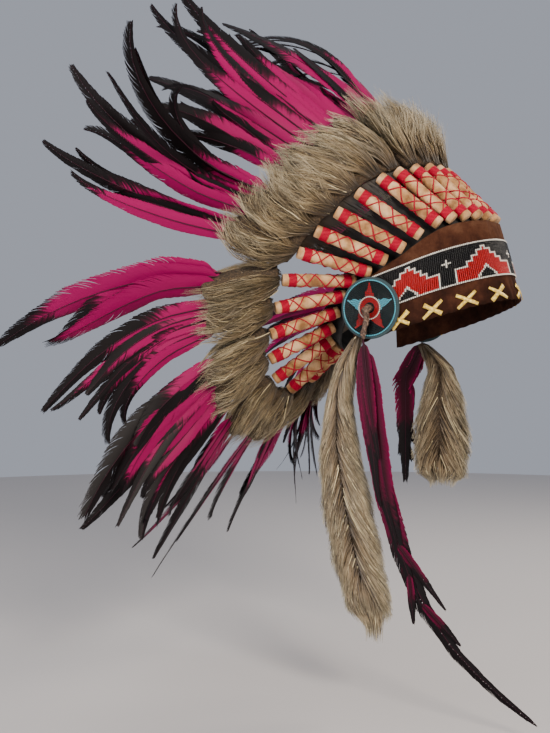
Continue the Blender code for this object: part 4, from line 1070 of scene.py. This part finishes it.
for number, row in enumerate(DROPS):
    hand, side, fur_share, broad, feather_share, sweep, fur_ahead, feather_ahead = row
    rng = np.random.default_rng(500 + number)
    length = FUR_DROP_LENGTH * fur_share
    form = (side, length, broad, sweep, fur_ahead)

    # The underfur: a flat core.
    rings, sides = 40, 24
    angle = np.linspace(0, 2 * np.pi, sides, endpoint=False)
    down = np.linspace(0, 0.92, rings)
    slim = 0.74 * np.sqrt(np.clip((0.95 - down) / 0.30, 0, 1))
    core = [drop_spot(*form, d, w * np.cos(angle), w * np.sign(np.sin(angle) + 1e-9))
            for d, w in zip(down, slim)]
    faces = [*skin(rings, sides)[:, ::side], *end_caps(rings, sides)[:, ::side]]
    make_piece("drop_underfur_" + hand, np.concatenate(core), faces, "drop_fur", underfur,
               ("fur_drop_" + hand,))

    # The hairs: they leave a parting down the middle for both edges, in clumps about 9 mm apart.
    count, steps = int(DROP_HAIRS * fur_share), 5
    t = np.linspace(0, 1, steps)[None]
    first = rng.random(count) ** 0.92 * 0.95
    last = np.minimum(first + rng.uniform(0.030, 0.048, count) / length, rng.uniform(0.97, 1.06, count))
    half_of = rng.choice((-1.0, 1.0), count)
    root = half_of * rng.beta(1.0, 1.6, count) * 0.75
    clump = np.floor((first * length - abs(root) * 0.020) / 0.0085 + rng.normal(0, 0.2, count))
    tone = np.sin(clump * 12.9898 + half_of * 3.1)
    far = root + half_of * (rng.uniform(0.45, 0.95, count) + 0.12 * tone)
    far = np.clip(far, -1.0, 1.0) * rng.uniform(0.98, 1.20, count)
    far = np.where(first > 0.84, root * 1.15, far)
    face = np.where(rng.random(count) < 0.78, 1.0, -1.0)[:, None]
    depth = face * (rng.uniform(0.75, 1.0, count)[:, None] + 0.30 * t)
    run_down = first[:, None] + (last - first)[:, None] * t
    run_across = root[:, None] + (far - root)[:, None] * t + 0.06 * np.sin(t * 4 + clump[:, None]) * t
    paths = drop_spot(*form, run_down, run_across, depth)
    paths[..., 0] += side * face * 0.0025 * np.sin(np.pi * t) * rng.uniform(0.3, 1.2, (count, 1))
    half = DROP_HAIR_HALF_WIDTH * (1 - 0.75 * t ** 1.2) * rng.uniform(0.7, 1.2, (count, 1))
    way = unit(np.gradient(paths, axis=1))
    spin = rng.normal(0, 0.5, (count, 1))
    facing = np.stack(np.broadcast_arrays(np.cos(spin), np.sin(spin), 0 * spin), -1)
    points, faces = ribbons(paths, unit(np.cross(way, np.broadcast_to(facing, way.shape))) * half[..., None])
    kind = rng.choice((0.0, 0.5, 1.0), count, p=(0.12, 0.85, 0.03))
    rng.normal(0, 0.17, count)  # a spare draw that keeps the later ones as they are
    make_piece("drop_hairs_" + hand, points, faces, "drop_fur", drop_coat_painted_light, (), **hair_layers(steps, kind))

    # The feathers: a bundle that bows forward from the end of the thong, one long and four shorter.
    length = FEATHER_DROP_LENGTH * feather_share
    end = ROSETTE_AT * (side, 1, 1) + np.array((side * (TIE_STAND + 0.0042), 0.0051, -TIE_HANG - 0.0008))
    down = np.linspace(0, 0.99, 40)
    bow = np.interp(down, FEATHER_DROP_ROWS[:, 0], FEATHER_DROP_ROWS[:, 1])
    flat = np.array((float(side), 0.0, 0.0))
    parts = []
    for turn, (wide, share, dye, shift, lean) in enumerate(DROP_FEATHERS):
        d, b = down[down <= share], bow[down <= share]
        path = end + np.stack((side * (0.0046 * np.minimum(d * 6, 1) + 0.0011 * turn * np.minimum(d * 8, 1)),
                               -b * length * sweep - feather_ahead * np.minimum(d * 4, 1)
                               + shift * np.minimum(d * 8, 1) + lean * length * d ** 2 * 2, -d * length), -1)
        way = unit(np.gradient(path, axis=0))
        up = np.broadcast_to(flat, way.shape)
        barbs = int(130 * max(share * feather_share, 0.4))
        spine = (path, way, unit(np.cross(up, way)), up)
        parts.append(feather(spine, wide, dye, rng, barbs, 0.05, dark_side=0))
        for share, swing, reach in LOOSE_TUFTS if turn == 0 else ():
            spot = int(share * len(path))
            off = way[spot] * math.cos(swing) + np.array((0, -1, 0)) * math.sin(swing)
            tuft = (path[spot] + off * np.linspace(0, 1, 12)[:, None] * reach * max(feather_share, 0.5)
                    + flat * 0.002)
            ahead, level = np.broadcast_to(unit(off), tuft.shape), np.broadcast_to(flat, tuft.shape)
            spine = (tuft, ahead, unit(np.cross(level, ahead)), level)
            parts.append(feather(spine, 0.009, 1.2 - share, rng, 36, 0.02, 0.0006))
    points, faces, layers = joined(parts)
    make_piece("drop_feathers_" + hand, points, faces, "drop_feather", wine_dye, ("feather_drop_" + hand,),
               **layers)
